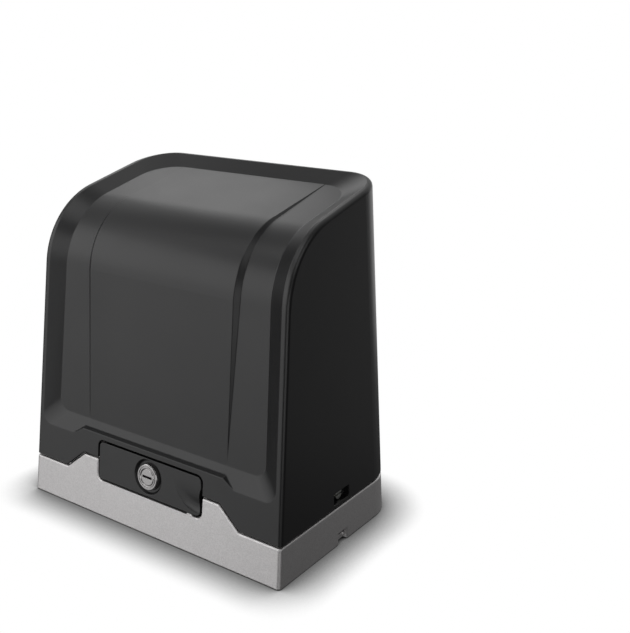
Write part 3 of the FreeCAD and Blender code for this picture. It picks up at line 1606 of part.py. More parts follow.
def make_run_capacitor():
    end = capacitor_left + capacitor_length
    y, z = capacitor_y, capacitor_z()
    can = rod_x(capacitor_radius, capacitor_left, end, y, z)
    rims = [edge for edge in can.Edges if abs(edge.BoundBox.XLength) < 1e-6]
    can = can.makeFillet(capacitor_edge_radius, rims)
    half_thickness, half_width = capacitor_pin_thickness / 2, capacitor_pin_width / 2
    pins = []
    for side in (-1, 1):
        pin_y = y + side * capacitor_pin_spacing / 2
        pins.append(box(end, end + capacitor_pin_length, pin_y - half_thickness, pin_y + half_thickness,
                        z - half_width, z + half_width))
    return fused([can] + pins)


def make_capacitor_clip():
    x0, x1 = clip_centre() - clip_width / 2, clip_centre() + clip_width / 2
    outer = capacitor_radius + clip_thickness
    band = rod_x(outer, x0, x1, capacitor_y, capacitor_z())
    far = capacitor_y + outer + clip_tab
    tab = box(x0, x1, capacitor_y, far, base_floor, base_floor + clip_tab_thickness)
    can = rod_x(capacitor_radius + seat_fit, x0 - overcut, x1 + overcut, capacitor_y, capacitor_z())
    hole_top = base_floor + clip_tab_thickness + overcut
    hole = rod_z(small_screw_radius + seat_fit, 0, hole_top, *clip_screw_place())
    return band.fuse(tab).cut([can, hole]).removeSplitter()


def make_clip_screw():
    seat = base_floor + clip_tab_thickness
    return small_screw(*clip_screw_place(), seat, small_screw_depth - small_screw_end_gap)


def make_cover_screws():
    screws = []
    z = pocket_bottom + pocket_height / 2
    seat = side_x(pocket_bottom) - pocket_depth
    tip = seat - cover_wall - cover_ear_thickness - cover_screw_tip
    for side in (-1, 1):
        head = rod_x(cover_screw_head_radius, seat, seat + cover_screw_head_height, 0, z)
        slot_half = cover_screw_radius * 0.25
        slot = box(seat + cover_screw_head_height * 0.4, reach, -reach, reach, z - slot_half, z + slot_half)
        screw = head.cut(slot).fuse(rod_x(cover_screw_radius, tip, seat, 0, z)).removeSplitter()
        if side < 0:
            screw = screw.mirror(Vector(0, 0, 0), Vector(1, 0, 0))
        screws.append(screw)
    return Part.makeCompound(screws)


nodes = {
    "cover_shell": make_cover_shell,
    "cover_screws": make_cover_screws,
    "base_tray": make_base_tray,
    "cable_grommet": make_cable_grommet,
    "release_lever": make_release_lever,
    "lever_pin": make_lever_pin,
    "lever_bracket": make_lever_bracket,
    "bracket_screws": make_bracket_screws,
    "lock_housing": make_lock_housing,
    "lock_nut": make_lock_nut,
    "lock_plug": make_lock_plug,
    "lock_tongue": make_lock_tongue,
    "tongue_screw": make_tongue_screw,
    "push_rod": make_push_rod,
    "worm_shaft": make_worm_shaft,
    "rotor_core": make_rotor_core,
    "worm_bearings": make_worm_bearings,
    "worm_wheel": make_worm_wheel,
    "wheel_spacer": make_wheel_spacer,
    "dog_clutch": make_dog_clutch,
    "clutch_pin": make_clutch_pin,
    "clutch_spring": make_clutch_spring,
    "output_shaft": make_output_shaft,
    "output_bearings": make_output_bearings,
    "output_seal": make_output_seal,
    "drive_pinion": make_drive_pinion,
    "pinion_key": make_pinion_key,
    "pinion_washer": make_pinion_washer,
    "pinion_screw": make_pinion_screw,
    "gearbox_housing": make_gearbox_housing,
    "gearbox_cover": make_gearbox_cover,
    "gearbox_screws": make_gearbox_screws,
    "gearbox_bolts": make_gearbox_bolts,
    "motor_flange": make_motor_flange,
    "motor_stator": make_motor_stator,
    "motor_windings": make_motor_windings,
    "motor_end_cap": make_motor_end_cap,
    "motor_tie_bolts": make_motor_tie_bolts,
    "board_stand": make_board_stand,
    "stand_screws": make_stand_screws,
    "board_post": make_board_post,
    "control_board": make_control_board,
    "board_spacers": make_board_spacers,
    "board_terminals": make_board_terminals,
    "board_relays": make_board_relays,
    "transformer": make_transformer,
    "run_capacitor": make_run_capacitor,
    "capacitor_clip": make_capacitor_clip,
    "clip_screw": make_clip_screw,
}

os.makedirs("parts", exist_ok=True)
for name, make in nodes.items():
    shape = make()
    print(name, shape.ShapeType, len(shape.Solids), shape.isValid(), round(shape.Volume, 1))
    shape.exportStep("parts/" + name + ".step")
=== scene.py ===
"""Looks of the sliding-gate motor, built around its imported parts. All sizes are in metres."""

import json
import logging
import math
from dataclasses import dataclass, field
from enum import Enum
from typing import Iterable, Optional, Sequence, Union

import bmesh
import bpy
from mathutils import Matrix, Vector
from mathutils.bvhtree import BVHTree
from mathutils.geometry import barycentric_transform, intersect_point_line

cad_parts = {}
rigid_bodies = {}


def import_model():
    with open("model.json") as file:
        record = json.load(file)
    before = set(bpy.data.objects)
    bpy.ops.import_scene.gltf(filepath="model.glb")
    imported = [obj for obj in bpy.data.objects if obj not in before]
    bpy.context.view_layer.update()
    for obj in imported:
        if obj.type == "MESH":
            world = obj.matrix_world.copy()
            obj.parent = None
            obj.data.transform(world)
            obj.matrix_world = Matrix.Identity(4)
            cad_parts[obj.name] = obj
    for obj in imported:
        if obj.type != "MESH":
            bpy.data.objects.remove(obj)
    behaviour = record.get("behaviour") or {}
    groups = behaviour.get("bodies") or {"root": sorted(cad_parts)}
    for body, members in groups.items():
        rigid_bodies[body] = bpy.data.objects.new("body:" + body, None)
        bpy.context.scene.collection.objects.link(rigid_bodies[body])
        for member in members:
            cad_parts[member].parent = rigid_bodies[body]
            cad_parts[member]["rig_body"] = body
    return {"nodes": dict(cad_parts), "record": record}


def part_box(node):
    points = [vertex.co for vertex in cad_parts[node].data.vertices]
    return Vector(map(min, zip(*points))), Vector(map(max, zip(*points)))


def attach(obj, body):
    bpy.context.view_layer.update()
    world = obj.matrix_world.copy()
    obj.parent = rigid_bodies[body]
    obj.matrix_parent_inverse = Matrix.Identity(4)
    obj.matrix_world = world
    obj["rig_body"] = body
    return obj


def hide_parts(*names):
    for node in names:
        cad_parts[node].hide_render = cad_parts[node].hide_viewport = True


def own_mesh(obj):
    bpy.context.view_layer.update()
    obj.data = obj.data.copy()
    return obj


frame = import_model()

log = logging.getLogger("gate_motor")
MILLIMETRE = 0.001

Colour = tuple[float, float, float, float]
Operand = Union["Value", float]
Point = tuple[float, float, float]
Box = tuple[Point, Point]
Profile = tuple[tuple[float, float], ...]

WAVE_SIZES = 6.3


def tint(code: str) -> Colour:
    """Turn a colour as it shows on a screen into the linear colour that a shader takes.

    Args:
        code: six hexadecimal digits, red first.

    Returns:
        The linear red, green and blue, with full alpha.
    """
    parts = []
    for start in (0, 2, 4):
        shown = int(code[start:start + 2], 16) / 255
        parts.append(shown / 12.92 if shown <= 0.04045 else ((shown + 0.055) / 1.055) ** 2.4)
    return (parts[0], parts[1], parts[2], 1.0)


class Value:
    """A shader output that takes part in sums as a number does."""

    def __init__(self, shader: "Shader", socket: bpy.types.NodeSocket) -> None:
        """Keep the shader and the output socket."""
        self.shader = shader
        self.socket = socket

    def _sum(self, operation: str, first: Operand, second: Operand) -> "Value":
        """Add one Math node on two operands."""
        return self.shader.node("ShaderNodeMath", {"operation": operation}, {0: first, 1: second})

    def __add__(self, other: Operand) -> "Value":
        """Value plus other."""
        return self._sum("ADD", self, other)

    def __radd__(self, other: Operand) -> "Value":
        """Other plus value."""
        return self._sum("ADD", other, self)

    def __sub__(self, other: Operand) -> "Value":
        """Value minus other."""
        return self._sum("SUBTRACT", self, other)

    def __rsub__(self, other: Operand) -> "Value":
        """Other minus value."""
        return self._sum("SUBTRACT", other, self)

    def __mul__(self, other: Operand) -> "Value":
        """Value times other."""
        return self._sum("MULTIPLY", self, other)

    def __rmul__(self, other: Operand) -> "Value":
        """Other times value."""
        return self._sum("MULTIPLY", other, self)

    def __pow__(self, other: Operand) -> "Value":
        """Value to a power."""
        return self._sum("POWER", self, other)

    def at_least(self, limit: Operand) -> "Value":
        """The larger of the value and a limit."""
        return self._sum("MAXIMUM", self, limit)


def add_node(tree: bpy.types.NodeTree, kind: str, settings: Optional[dict],
             sockets: Optional[dict]) -> bpy.types.Node:
    """Add a node to a tree.

    Args:
        tree: the tree.
        kind: the node's type.
        settings: properties, set first.
        sockets: values or links of its inputs, by name or number.

    Returns:
        The node.
    """
    made = tree.nodes.new(kind)
    for name, value in (settings or {}).items():
        setattr(made, name, value)
    for key, value in (sockets or {}).items():
        source = value.socket if isinstance(value, Value) else value
        if isinstance(source, bpy.types.NodeSocket):
            tree.links.new(source, made.inputs[key])
        else:
            made.inputs[key].default_value = source
    return made


class Shader:
    """One node tree of a material or of the world, with short ways to add its nodes."""

    def __init__(self, owner: Union[bpy.types.Material, bpy.types.World]) -> None:
        """Clear the owner's node tree and keep it.

        Args:
            owner: the material or the world.
        """
        owner.use_nodes = True
        self.tree = owner.node_tree
        self.tree.nodes.clear()

    def node(self, kind: str, settings: Optional[dict] = None, sockets: Optional[dict] = None,
             output: Union[int, str] = 0) -> Value:
        """Add a node and return one of its outputs."""
        made = add_node(self.tree, kind, settings, sockets)
        return Value(self, made.outputs[output] if len(made.outputs) else None)

    def place(self, stretch: Point = (1, 1, 1)) -> Value:
        """Object coordinates, stretched."""
        coordinates = self.node("ShaderNodeTexCoord", output="Object")
        return self.node("ShaderNodeMapping", {"vector_type": "POINT"},
                         {"Vector": coordinates, "Scale": stretch})

    def noise(self, size: float, detail: float = 2.0, place: Optional[Value] = None) -> Value:
        """Noise whose features are about a size across."""
        return self.node("ShaderNodeTexNoise", None,
                         {"Vector": place or self.place(), "Scale": 1 / size, "Detail": detail})

    def mix(self, factor: Operand, first: Union[Value, Colour], second: Union[Value, Colour]) -> Value:
        """Blend two colours."""
        return self.node("ShaderNodeMix", {"data_type": "RGBA"}, {0: factor, 6: first, 7: second}, 2)


class Grain(Enum):
    """What breaks a surface up: how it was made."""

    MOULDED = "spark-eroded mould texture"
    SPECKLED = "metal-flake paint"
    CAST = "sand-cast skin"
    TURNED = "marks of a lathe"
    LAMINATED = "edges of thin sheets"
    WOUND = "wire laid side by side"
    BOARD = "lacquered circuit board"


@dataclass(frozen=True)
class Finish:
    """A surface finish: its colour, its gloss and the grain that varies both."""

    slot: str
    colour: str
    roughness: float
    grain: Grain = Grain.MOULDED
    metallic: float = 0.0
    specular: float = 0.5
    grain_size: float = 0.6 * MILLIMETRE
    relief: float = 0.01 * MILLIMETRE
    tone_spread: float = 0.15
    gloss_spread: float = 0.08
    second_colour: str = ""
    patch_size: float = 45 * MILLIMETRE
    name: str = ""

    @property
    def key(self) -> str:
        """The finish's own name, or else its slot."""
        return self.name or self.slot

    def material(self) -> bpy.types.Material:
        """Build the finish as a material, once.

        Returns:
            The material, from the first call on.
        """
        found = bpy.data.materials.get("finish_" + self.key)
        if found:
            return found
        made = bpy.data.materials.new("finish_" + self.key)
        shader = Shader(made)
        pattern = self._pattern(shader)
        patches = shader.noise(self.patch_size, 3.0)
        colour = tint(self.colour)
        darker = self._scaled(colour, 1 - self.tone_spread)
        other = tint(self.second_colour) if self.second_colour else darker
        worn = shader.mix(patches, self._scaled(colour, 1 - self.tone_spread / 3), colour)
        base = shader.mix(pattern, other, worn)
        roughness = self.roughness + self.gloss_spread * (patches - pattern)
        bump = shader.node("ShaderNodeBump", None,
                           {"Strength": 1.0, "Distance": self.relief, "Height": pattern})
        surface = shader.node("ShaderNodeBsdfPrincipled", None, {
            "Base Color": base,
            "Roughness": roughness,
            "Metallic": self.metallic,
            "Specular IOR Level": self.specular,
            "Normal": bump,
        })
        shader.node("ShaderNodeOutputMaterial", None, {"Surface": surface})
        return made

    @staticmethod
    def _scaled(colour: Colour, share: float) -> Colour:
        """A colour made darker or lighter by a share."""
        return (colour[0] * share, colour[1] * share, colour[2] * share, 1.0)

    def _pattern(self, shader: Shader) -> Value:
        """Draw the grain.

        Args:
            shader: the material's nodes.

        Returns:
            A value from nought to one.
        """
        size = self.grain_size
        if self.grain is Grain.SPECKLED:
            cells = shader.node("ShaderNodeTexVoronoi", None,
                                {"Vector": shader.place(), "Scale": 1 / size}, 1)
            flakes = shader.node("ShaderNodeSeparateColor", None, {0: cells}, 0)
            return 0.75 * flakes + 0.25 * shader.noise(size * 1.5)
        if self.grain is Grain.CAST:
            return 0.7 * shader.noise(size, 4.0) + 0.3 * shader.noise(size * 6, 2.0)
        if self.grain is Grain.TURNED:
            return shader.noise(size, 2.0, shader.place((1, 0.05, 1)))
        if self.grain in (Grain.LAMINATED, Grain.WOUND):
            way, waver = ("X", 0.4) if self.grain is Grain.LAMINATED else ("DIAGONAL", 1.5)
            return shader.node("ShaderNodeTexWave", {"bands_direction": way}, {
                "Vector": shader.place(), "Scale": 1 / (size * WAVE_SIZES), "Distortion": waver}, 1)
        if self.grain is Grain.BOARD:
            tracks = shader.node("ShaderNodeTexBrick", None, {
                "Vector": shader.place(), "Scale": 1 / size,
                "Mortar Size": 0.09, "Mortar Smooth": 0.2}, 1)
            return 1 - tracks
        return 0.6 * shader.noise(size, 3.0) + 0.4 * shader.noise(size * 0.4, 1.0)


FINISHES = {finish.key: finish for finish in (
    Finish("hood_plastic", "161617", 0.35, relief=0.004 * MILLIMETRE),
    Finish("door_plastic", "151516", 0.34, relief=0.004 * MILLIMETRE),
    Finish("silver_base", "dad8d8", 0.48, Grain.SPECKLED, metallic=0.95, second_colour="c7c5c5",
           grain_size=0.7 * MILLIMETRE),
    Finish("lock_chrome", "b2b0b0", 0.2, Grain.TURNED, metallic=1.0, relief=0.002 * MILLIMETRE),
    Finish("zinc_steel", "b9bab6", 0.34, Grain.CAST, metallic=1.0, relief=0.004 * MILLIMETRE),
    Finish("bright_steel", "c9c9c8", 0.24, Grain.TURNED, metallic=1.0, relief=0.002 * MILLIMETRE),
    Finish("spring_steel", "8d8e90", 0.30, Grain.TURNED, metallic=1.0),
    Finish("pinion_steel", "6d6e70", 0.38, Grain.CAST, metallic=1.0),
    Finish("bronze", "b98a4b", 0.32, Grain.TURNED, metallic=1.0),
    Finish("cast_aluminium", "b3b4b4", 0.50, Grain.CAST, metallic=0.9, relief=0.05 * MILLIMETRE,
           grain_size=1.4 * MILLIMETRE),
    Finish("lamination_steel", "7d7f82", 0.45, Grain.LAMINATED, metallic=0.9, relief=0.08 * MILLIMETRE,
           second_colour="55575a", grain_size=1.0 * MILLIMETRE),
    Finish("copper_winding", "b5653a", 0.35, Grain.WOUND, metallic=0.9, relief=0.15 * MILLIMETRE,
           second_colour="7c3f22", grain_size=0.9 * MILLIMETRE),
    Finish("black_rubber", "1d1d1d", 0.65, Grain.CAST, relief=0.01 * MILLIMETRE),
    Finish("green_board", "1f5a38", 0.38, Grain.BOARD, second_colour="2f7a4d",
           grain_size=6 * MILLIMETRE),
    Finish("green_terminal", "3a8a4a", 0.42),
    Finish("relay_plastic", "2b3a63", 0.36),
    Finish("white_plastic", "dcdbd6", 0.40),
    Finish("transformer_iron", "4a4642", 0.48, Grain.LAMINATED, metallic=0.5, second_colour="2f2c2a"),
    Finish("hood_plastic", "1b1b1c", 0.5, name="chip_black"),
    Finish("white_plastic", "c4a877", 0.42, name="resistor_tan"),
)}


@dataclass
class SoftenedNode:
    """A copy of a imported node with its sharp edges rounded, which stands for the node."""

    node: str
    width: float
    segments: int = 2
    sharp_angle: float = math.radians(17)
    flat_angle: float = math.radians(0.05)
    weld: float = 1e-6
    room: float = 2.05
    probes: tuple[float, ...] = (-0.8, 0.0, 0.8)
    slant: float = 0.5
    search: float = 1.5
    distance_cost: float = 20.0
    kinship: float = 0.9
    likeness: float = 0.9

    def build(self) -> bpy.types.Object:
        """Weld, round and shade the copy.

        Returns:
            The new object, which doesn't ride on anything yet.
        """
        source = frame["nodes"][self.node]
        work = bmesh.new()
        work.from_mesh(source.data)
        bmesh.ops.remove_doubles(work, verts=work.verts, dist=self.weld)
        bmesh.ops.dissolve_limit(work, angle_limit=self.flat_angle, verts=work.verts, edges=work.edges)
        self._reshape(work)
        creases = self._creases(source.data)
        sharp = [edge for edge in work.edges
                 if edge.is_manifold and edge.calc_face_angle() > self.sharp_angle
                 and creases.get(self._key(*edge.verts), math.pi) > self.sharp_angle
                 and self._has_room(edge)]
        rounded = bmesh.ops.bevel(work, geom=sharp, offset=self.width, offset_type="OFFSET",
                                  segments=self.segments, profile=0.5, affect="EDGES",
                                  clamp_overlap=False, miter_outer="SHARP", material=-1)
        for face in work.faces:
            face.smooth = True
        work.faces.index_update()
        strips = {face.index for face in rounded["faces"] if face.is_valid}
        mesh = bpy.data.meshes.new(self.node + "_softened")
        work.to_mesh(mesh)
        work.free()
        self._shade(mesh, source.data, strips)
        piece = bpy.data.objects.new(self.node + "_softened", mesh)
        bpy.context.scene.collection.objects.link(piece)
        return piece

    def _reshape(self, work: bmesh.types.BMesh) -> None:
        """Leave the shape as it was packed."""

    def _key(self, *ends: Union[bmesh.types.BMVert, bpy.types.MeshVertex]) -> frozenset:
        """A name for an edge by where its ends are."""
        return frozenset(tuple(round(part / self.weld) for part in end.co) for end in ends)

    def _creases(self, mesh: bpy.types.Mesh) -> dict[frozenset, float]:
        """Measure how far a mesh's normals turn across each edge.

        Args:
            mesh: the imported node's mesh.

        Returns:
            The angle for each edge between two faces.
        """
        sides: dict[frozenset, list[dict[tuple, Vector]]] = {}
        for face in mesh.polygons:
            corners = [(mesh.vertices[vertex], Vector(mesh.corner_normals[loop].vector))
                       for loop, vertex in zip(face.loop_indices, face.vertices)]
            for (first, normal), (last, other) in zip(corners, corners[1:] + corners[:1]):
                key = self._key(first, last)
                sides.setdefault(key, []).append({tuple(first.co): normal, tuple(last.co): other})
        return {key: max(pair[0][end].angle(pair[1].get(end, pair[0][end]), 0.0) for end in pair[0])
                for key, pair in sides.items() if len(pair) == 2}

    def _has_room(self, edge: bmesh.types.BMEdge) -> bool:
        """Test whether the strips of an edge and of the one across each face beside it stay apart.

        Args:
            edge: the edge to be rounded.

        Returns:
            Whether they do.
        """
        start, end = (vertex.co for vertex in edge.verts)
        middle, half = (start + end) / 2, (end - start) / 2
        along = half.normalized()
        need = self.room * self.width
        for face in edge.link_faces:
            for other in face.edges:
                first, last = (vertex.co for vertex in other.verts)
                far = need + half.length + (last - first).length / 2
                if ((first + last) / 2 - middle).length > far or set(other.verts) & set(edge.verts):
                    continue
                for share in self.probes:
                    place = middle + half * share
                    part = intersect_point_line(place, first, last)[1]
                    gap = first.lerp(last, min(1.0, max(0.0, part))) - place
                    if gap.length < need and abs(gap.dot(along)) < self.slant * gap.length:
                        return False
        return True

    def _shade(self, mesh: bpy.types.Mesh, source: bpy.types.Mesh, strips: set[int]) -> None:
        """Give main faces the node's own normals, and let the rounded strips run between them.

        Args:
            mesh: the copy; a reshaped face has material index 1 and takes normals from its own shape.
            source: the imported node's mesh.
            strips: the numbers of the rounded faces.
        """
        points = [vertex.co.copy() for vertex in source.vertices]
        triangles = [tuple(face.vertices) for face in source.polygons]
        loops = [tuple(face.loop_indices) for face in source.polygons]
        tree = BVHTree.FromPolygons(points, triangles)
        corner = [Vector(item.vector) for item in source.corner_normals]
        found: dict[int, Vector] = {}
        total: dict[int, Vector] = {}
        own: dict[int, Vector] = {}
        for face in mesh.polygons:
            if face.material_index and face.index not in strips:
                for vertex in face.vertices:
                    own[vertex] = own.get(vertex, Vector()) + face.normal
        for face in mesh.polygons:
            if face.index in strips:
                continue
            for loop, vertex in zip(face.loop_indices, face.vertices):
                if face.material_index:
                    found[loop] = own[vertex].normalized()
                    total[vertex] = total.get(vertex, Vector()) + found[loop]
                    continue
                place = mesh.vertices[vertex].co
                near = tree.find_nearest_range(place, self.width * self.search)
                best = max(near, default=None,
                           key=lambda hit: hit[1].dot(face.normal) - hit[3] * self.distance_cost)
                if best is None or best[1].dot(face.normal) < self.kinship:
                    normal = face.normal.copy()
                else:
                    a, b, c = (points[i] for i in triangles[best[2]])
                    na, nb, nc = (corner[i] for i in loops[best[2]])
                    normal = barycentric_transform(best[0], a, b, c, na, nb, nc).normalized()
                    if not normal.dot(face.normal) > self.likeness:
                        normal = face.normal.copy()
                found[loop] = normal
                total[vertex] = total.get(vertex, Vector()) + normal
        normals = []
        averages = mesh.vertex_normals
        for face in mesh.polygons:
            for loop, vertex in zip(face.loop_indices, face.vertices):
                normal = found.get(loop)
                if normal is None:
                    normal = total[vertex] if vertex in total else averages[vertex].vector
                normals.append((loop, Vector(normal).normalized()))
        normals.sort(key=lambda pair: pair[0])
        mesh.normals_split_custom_set([tuple(normal) for _, normal in normals])
        for face in mesh.polygons:
            face.material_index = 0


@dataclass
class SoftenedDoor(SoftenedNode):
    """The door's copy, whose finger scoop fades out upwards."""

    scoop_reach: float = 36.0 * MILLIMETRE
    scoop_limit: float = 8.0 * MILLIMETRE
    fade_to: float = 24.0 * MILLIMETRE
    fade_power: float = 1.5
    kinship: float = 0.999
    rows: int = 16
    tiny: float = 1e-3 * MILLIMETRE
    faces_front: float = -0.3
    flat_front: float = -0.9

    def _reshape(self, work: bmesh.types.BMesh) -> None:
        """Cut the scoop into rows and lift each row towards the door's face.

        Args:
            work: the welded copy of the door.
        """
        ahead = (face for face in work.faces if face.normal.y < self.flat_front)
        front = max(ahead, key=lambda face: face.calc_area())
        out, place = front.normal.copy(), front.verts[0].co.copy()
        right = max(vertex.co.x for vertex in front.verts)
        foot = min(vertex.co.z for vertex in front.verts)

        def depth(point: Vector) -> float:
            """How far a point lies behind the door's face."""
            return (place - point).dot(out)

        def in_scoop(face: bmesh.types.BMFace) -> bool:
            """Test whether a face belongs to the scoop.

            Args:
                face: any face of the door.

            Returns:
                Whether it does.
            """
            depths = [depth(vertex.co) for vertex in face.verts]
            near = all(vertex.co.x > right - self.scoop_reach for vertex in face.verts)
            sunk = self.tiny < max(depths) < self.scoop_limit
            return near and sunk and face.normal.y < self.faces_front

        faces = [face for face in work.faces if in_scoop(face)]
        geometry = list({part for face in faces for part in (face, *face.edges, *face.verts)})
        for row in range(1, self.rows + 1):
            level = foot + self.fade_to * row / self.rows
            cut = bmesh.ops.bisect_plane(work, geom=geometry, dist=self.tiny,
                                         plane_co=(0, 0, level), plane_no=(0, 0, 1))
            geometry = cut["geom"]
        faces = [part for part in geometry if isinstance(part, bmesh.types.BMFace)]
        for vertex in {vertex for face in faces for vertex in face.verts}:
            share = min(1.0, max(0.0, (foot + self.fade_to - vertex.co.z) / self.fade_to))
            vertex.co += out * depth(vertex.co) * (1 - share ** self.fade_power)
        work.normal_update()
        bmesh.ops.dissolve_limit(work, angle_limit=self.flat_angle, verts=work.verts, edges=work.edges)
        work.normal_update()
        for face in work.faces:
            face.material_index = int(in_scoop(face))

    def _has_room(self, edge: bmesh.types.BMEdge) -> bool:
        """Leave the scoop's own edges crisp."""
        return not any(face.material_index for face in edge.link_faces) and super()._has_room(edge)


def slot_of(node: str) -> str:
    """Look up a node's material slot.

    Args:
        node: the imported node.

    Returns:
        The slot that the record gives it.
    """
    for part in frame["record"]["subparts"]:
        if part["node"] == node:
            return part["material_slot"]
    raise KeyError(node)


def body_of(node: str) -> str:
    """The body that carries a node."""
    return frame["nodes"][node]["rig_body"]


def soften(node: str, width: float) -> bpy.types.Object:
    """Put a softened, finished copy in a node's place.

    Args:
        node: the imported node.
        width: how far each rounded strip reaches from its edge.

    Returns:
        The copy.
    """
    kind = SoftenedDoor if node == "release_lever" else SoftenedNode
    piece = kind(node, width).build()
    slot = slot_of(node)
    piece.data.materials.clear()
    piece.data.materials.append(FINISHES[slot].material())
    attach(piece, body_of(node))
    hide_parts(node)
    log.info("%s softened: %d faces", node, len(piece.data.polygons))
    return piece


def dress(nodes: Iterable[str]) -> None:
    """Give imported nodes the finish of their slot.

    Args:
        nodes: their names.
    """
    for node in nodes:
        frame["nodes"][node].material_slots[0].material = FINISHES[slot_of(node)].material()
        log.info("%s dressed", node)


@dataclass(frozen=True)
class SoftBox:
    """A soft box that faces the object, placed by the direction it is seen in from there."""

    name: str
    azimuth: float
    elevation: float
    width: float
    height: float
    glow: float
    distance: float = 1.5
    aim: Point = (0.0, 0.0, 0.14)

    def hang(self) -> None:
        """Make the lamp. Its azimuth runs from the front towards the right, in degrees."""
        data = bpy.data.lights.new(self.name, "AREA")
        data.shape = "RECTANGLE"
        data.size = self.width
        data.size_y = self.height
        data.energy = self.glow * math.pi * self.width * self.height
        lamp = bpy.data.objects.new(self.name, data)
        turn, rise = math.radians(self.azimuth), math.radians(self.elevation)
        level = math.cos(rise)
        away = Vector((math.sin(turn) * level, -math.cos(turn) * level, math.sin(rise)))
        lamp.location = Vector(self.aim) + away * self.distance
        lamp.rotation_euler = (-away).to_track_quat("-Z", "Y").to_euler()
        bpy.context.scene.collection.objects.link(lamp)


@dataclass
class Studio:
    """Camera, floor and soft light."""

    eye: Vector = field(default_factory=lambda: Vector((0.475963, -0.524178, 0.384536)))
    yaw: float = math.radians(35.384)
    pitch: float = math.radians(17.988)
    focal_pixels: float = 938.55
    frame_height: float = 633
    sensor: float = 36
    floor_size: float = 60.0
    room_glow: float = 0.06
    backdrop_way: Point = (-0.212, 0.791, 0.574)
    backdrop_rim: float = 0.5
    backdrop_heart: float = 0.9
    backdrop_glow: float = 0.6
    # Reach, strength and samples of the contact shadow painted into the floor's glow.
    shadow_reach: float = 0.036
    shadow_depth: float = 3.0
    shadow_samples: int = 16
    boxes: tuple[SoftBox, ...] = (
        SoftBox("front_box", -33, -4, 1.3, 0.6, 1.2),
        SoftBox("low_box", -32, -26, 1.32, 0.55, 0.74),
        SoftBox("band_box", -36, 22.5, 2.1, 0.85, 1.6),
        SoftBox("top_box", -32, 66, 1.1, 0.7, 1.5),
        SoftBox("line_box", -60, 43, 0.4, 0.3, 0.6),
        SoftBox("crest_box", 70, 45, 1.1, 0.7, 1.1),
        SoftBox("upper_box", -84, 42, 1.3, 0.45, 0.48),
        SoftBox("roof_box", -131, 36, 0.5, 0.45, 1.15),
        SoftBox("side_box", 145, -13, 1.4, 0.75, 0.15),
        SoftBox("edge_box", 46, 0, 1.0, 0.8, 1.2),
        SoftBox("rear_box", -172, -3, 1.4, 0.8, 0.6),
        SoftBox("left_box", -125, -6, 0.8, 0.8, 0.5),
    )

    def build(self) -> None:
        """Set up everything that isn't the object."""
        self._camera()
        self._world()
        self._floor()
        for box in self.boxes:
            box.hang()
        bpy.context.scene.view_settings.view_transform = "Standard"

    def _camera(self) -> None:
        """Stand the camera where the photograph was taken from."""
        data = bpy.data.cameras.new("camera")
        data.sensor_fit = "VERTICAL"
        data.sensor_height = self.sensor
        data.lens = self.focal_pixels * self.sensor / self.frame_height
        camera = bpy.data.objects.new("camera", data)
        bpy.context.scene.collection.objects.link(camera)
        level = math.cos(self.pitch)
        ahead = Vector((-math.sin(self.yaw) * level, math.cos(self.yaw) * level, -math.sin(self.pitch)))
        camera.location = self.eye
        camera.rotation_euler = ahead.to_track_quat("-Z", "Y").to_euler()
        bpy.context.scene.camera = camera

    def _world(self) -> None:
        """White where the camera looks and behind the object, a dim room for the rest of the light."""
        world = bpy.data.worlds.new("studio")
        bpy.context.scene.world = world
        shader = Shader(world)
        seen = shader.node("ShaderNodeLightPath", output="Is Camera Ray")
        through = shader.node("ShaderNodeLightPath", output="Is Transmission Ray")
        mirrored = shader.node("ShaderNodeLightPath", output="Is Glossy Ray")
        ray = shader.node("ShaderNodeTexCoord", output="Generated")
        along = shader.node("ShaderNodeVectorMath", {"operation": "DOT_PRODUCT"},
                            {0: ray, 1: self.backdrop_way}, "Value")
        behind = shader.node("ShaderNodeMapRange", {"interpolation_type": "SMOOTHSTEP"}, {
            "Value": along, "From Min": self.backdrop_rim, "From Max": self.backdrop_heart})
        glow = self.room_glow + self.backdrop_glow * (mirrored * behind)
        white = shader.node("ShaderNodeBackground", None, {"Color": tint("ffffff"), "Strength": 1.0})
        room = shader.node("ShaderNodeBackground", None, {"Color": tint("ffffff"), "Strength": glow})
        both = shader.node("ShaderNodeMixShader", None, {0: seen.at_least(through), 1: room, 2: white})
        shader.node("ShaderNodeOutputWorld", None, {"Surface": both})

    def _floor(self) -> None:
        """A white glowing floor, with the object's contact shadow painted into its glow from ambient
        occlusion.
        """
        half = self.floor_size / 2
        mesh = bpy.data.meshes.new("floor")
        mesh.from_pydata([(-half, -half, 0), (half, -half, 0), (half, half, 0), (-half, half, 0)],
                         [], [(0, 1, 2, 3)])
        floor = bpy.data.objects.new("floor", mesh)
        bpy.context.scene.collection.objects.link(floor)
        material = bpy.data.materials.new("floor_paper")
        shader = Shader(material)
        # Painted shadow: the floor's glow is darkened by ambient occlusion near the object, not shaded
        # by the lamps.
        open_sky = shader.node("ShaderNodeAmbientOcclusion", {"samples": self.shadow_samples},
                               {"Distance": self.shadow_reach}, 1)
        painted_shadow_tone = shader.mix(open_sky ** self.shadow_depth, tint("000000"), tint("ffffff"))
        paper = shader.node("ShaderNodeEmission", None, {"Color": painted_shadow_tone, "Strength": 1.0})
        shader.node("ShaderNodeOutputMaterial", None, {"Surface": paper})
        mesh.materials.append(material)
        floor.visible_diffuse = False
        floor.visible_glossy = False
        floor.visible_shadow = False


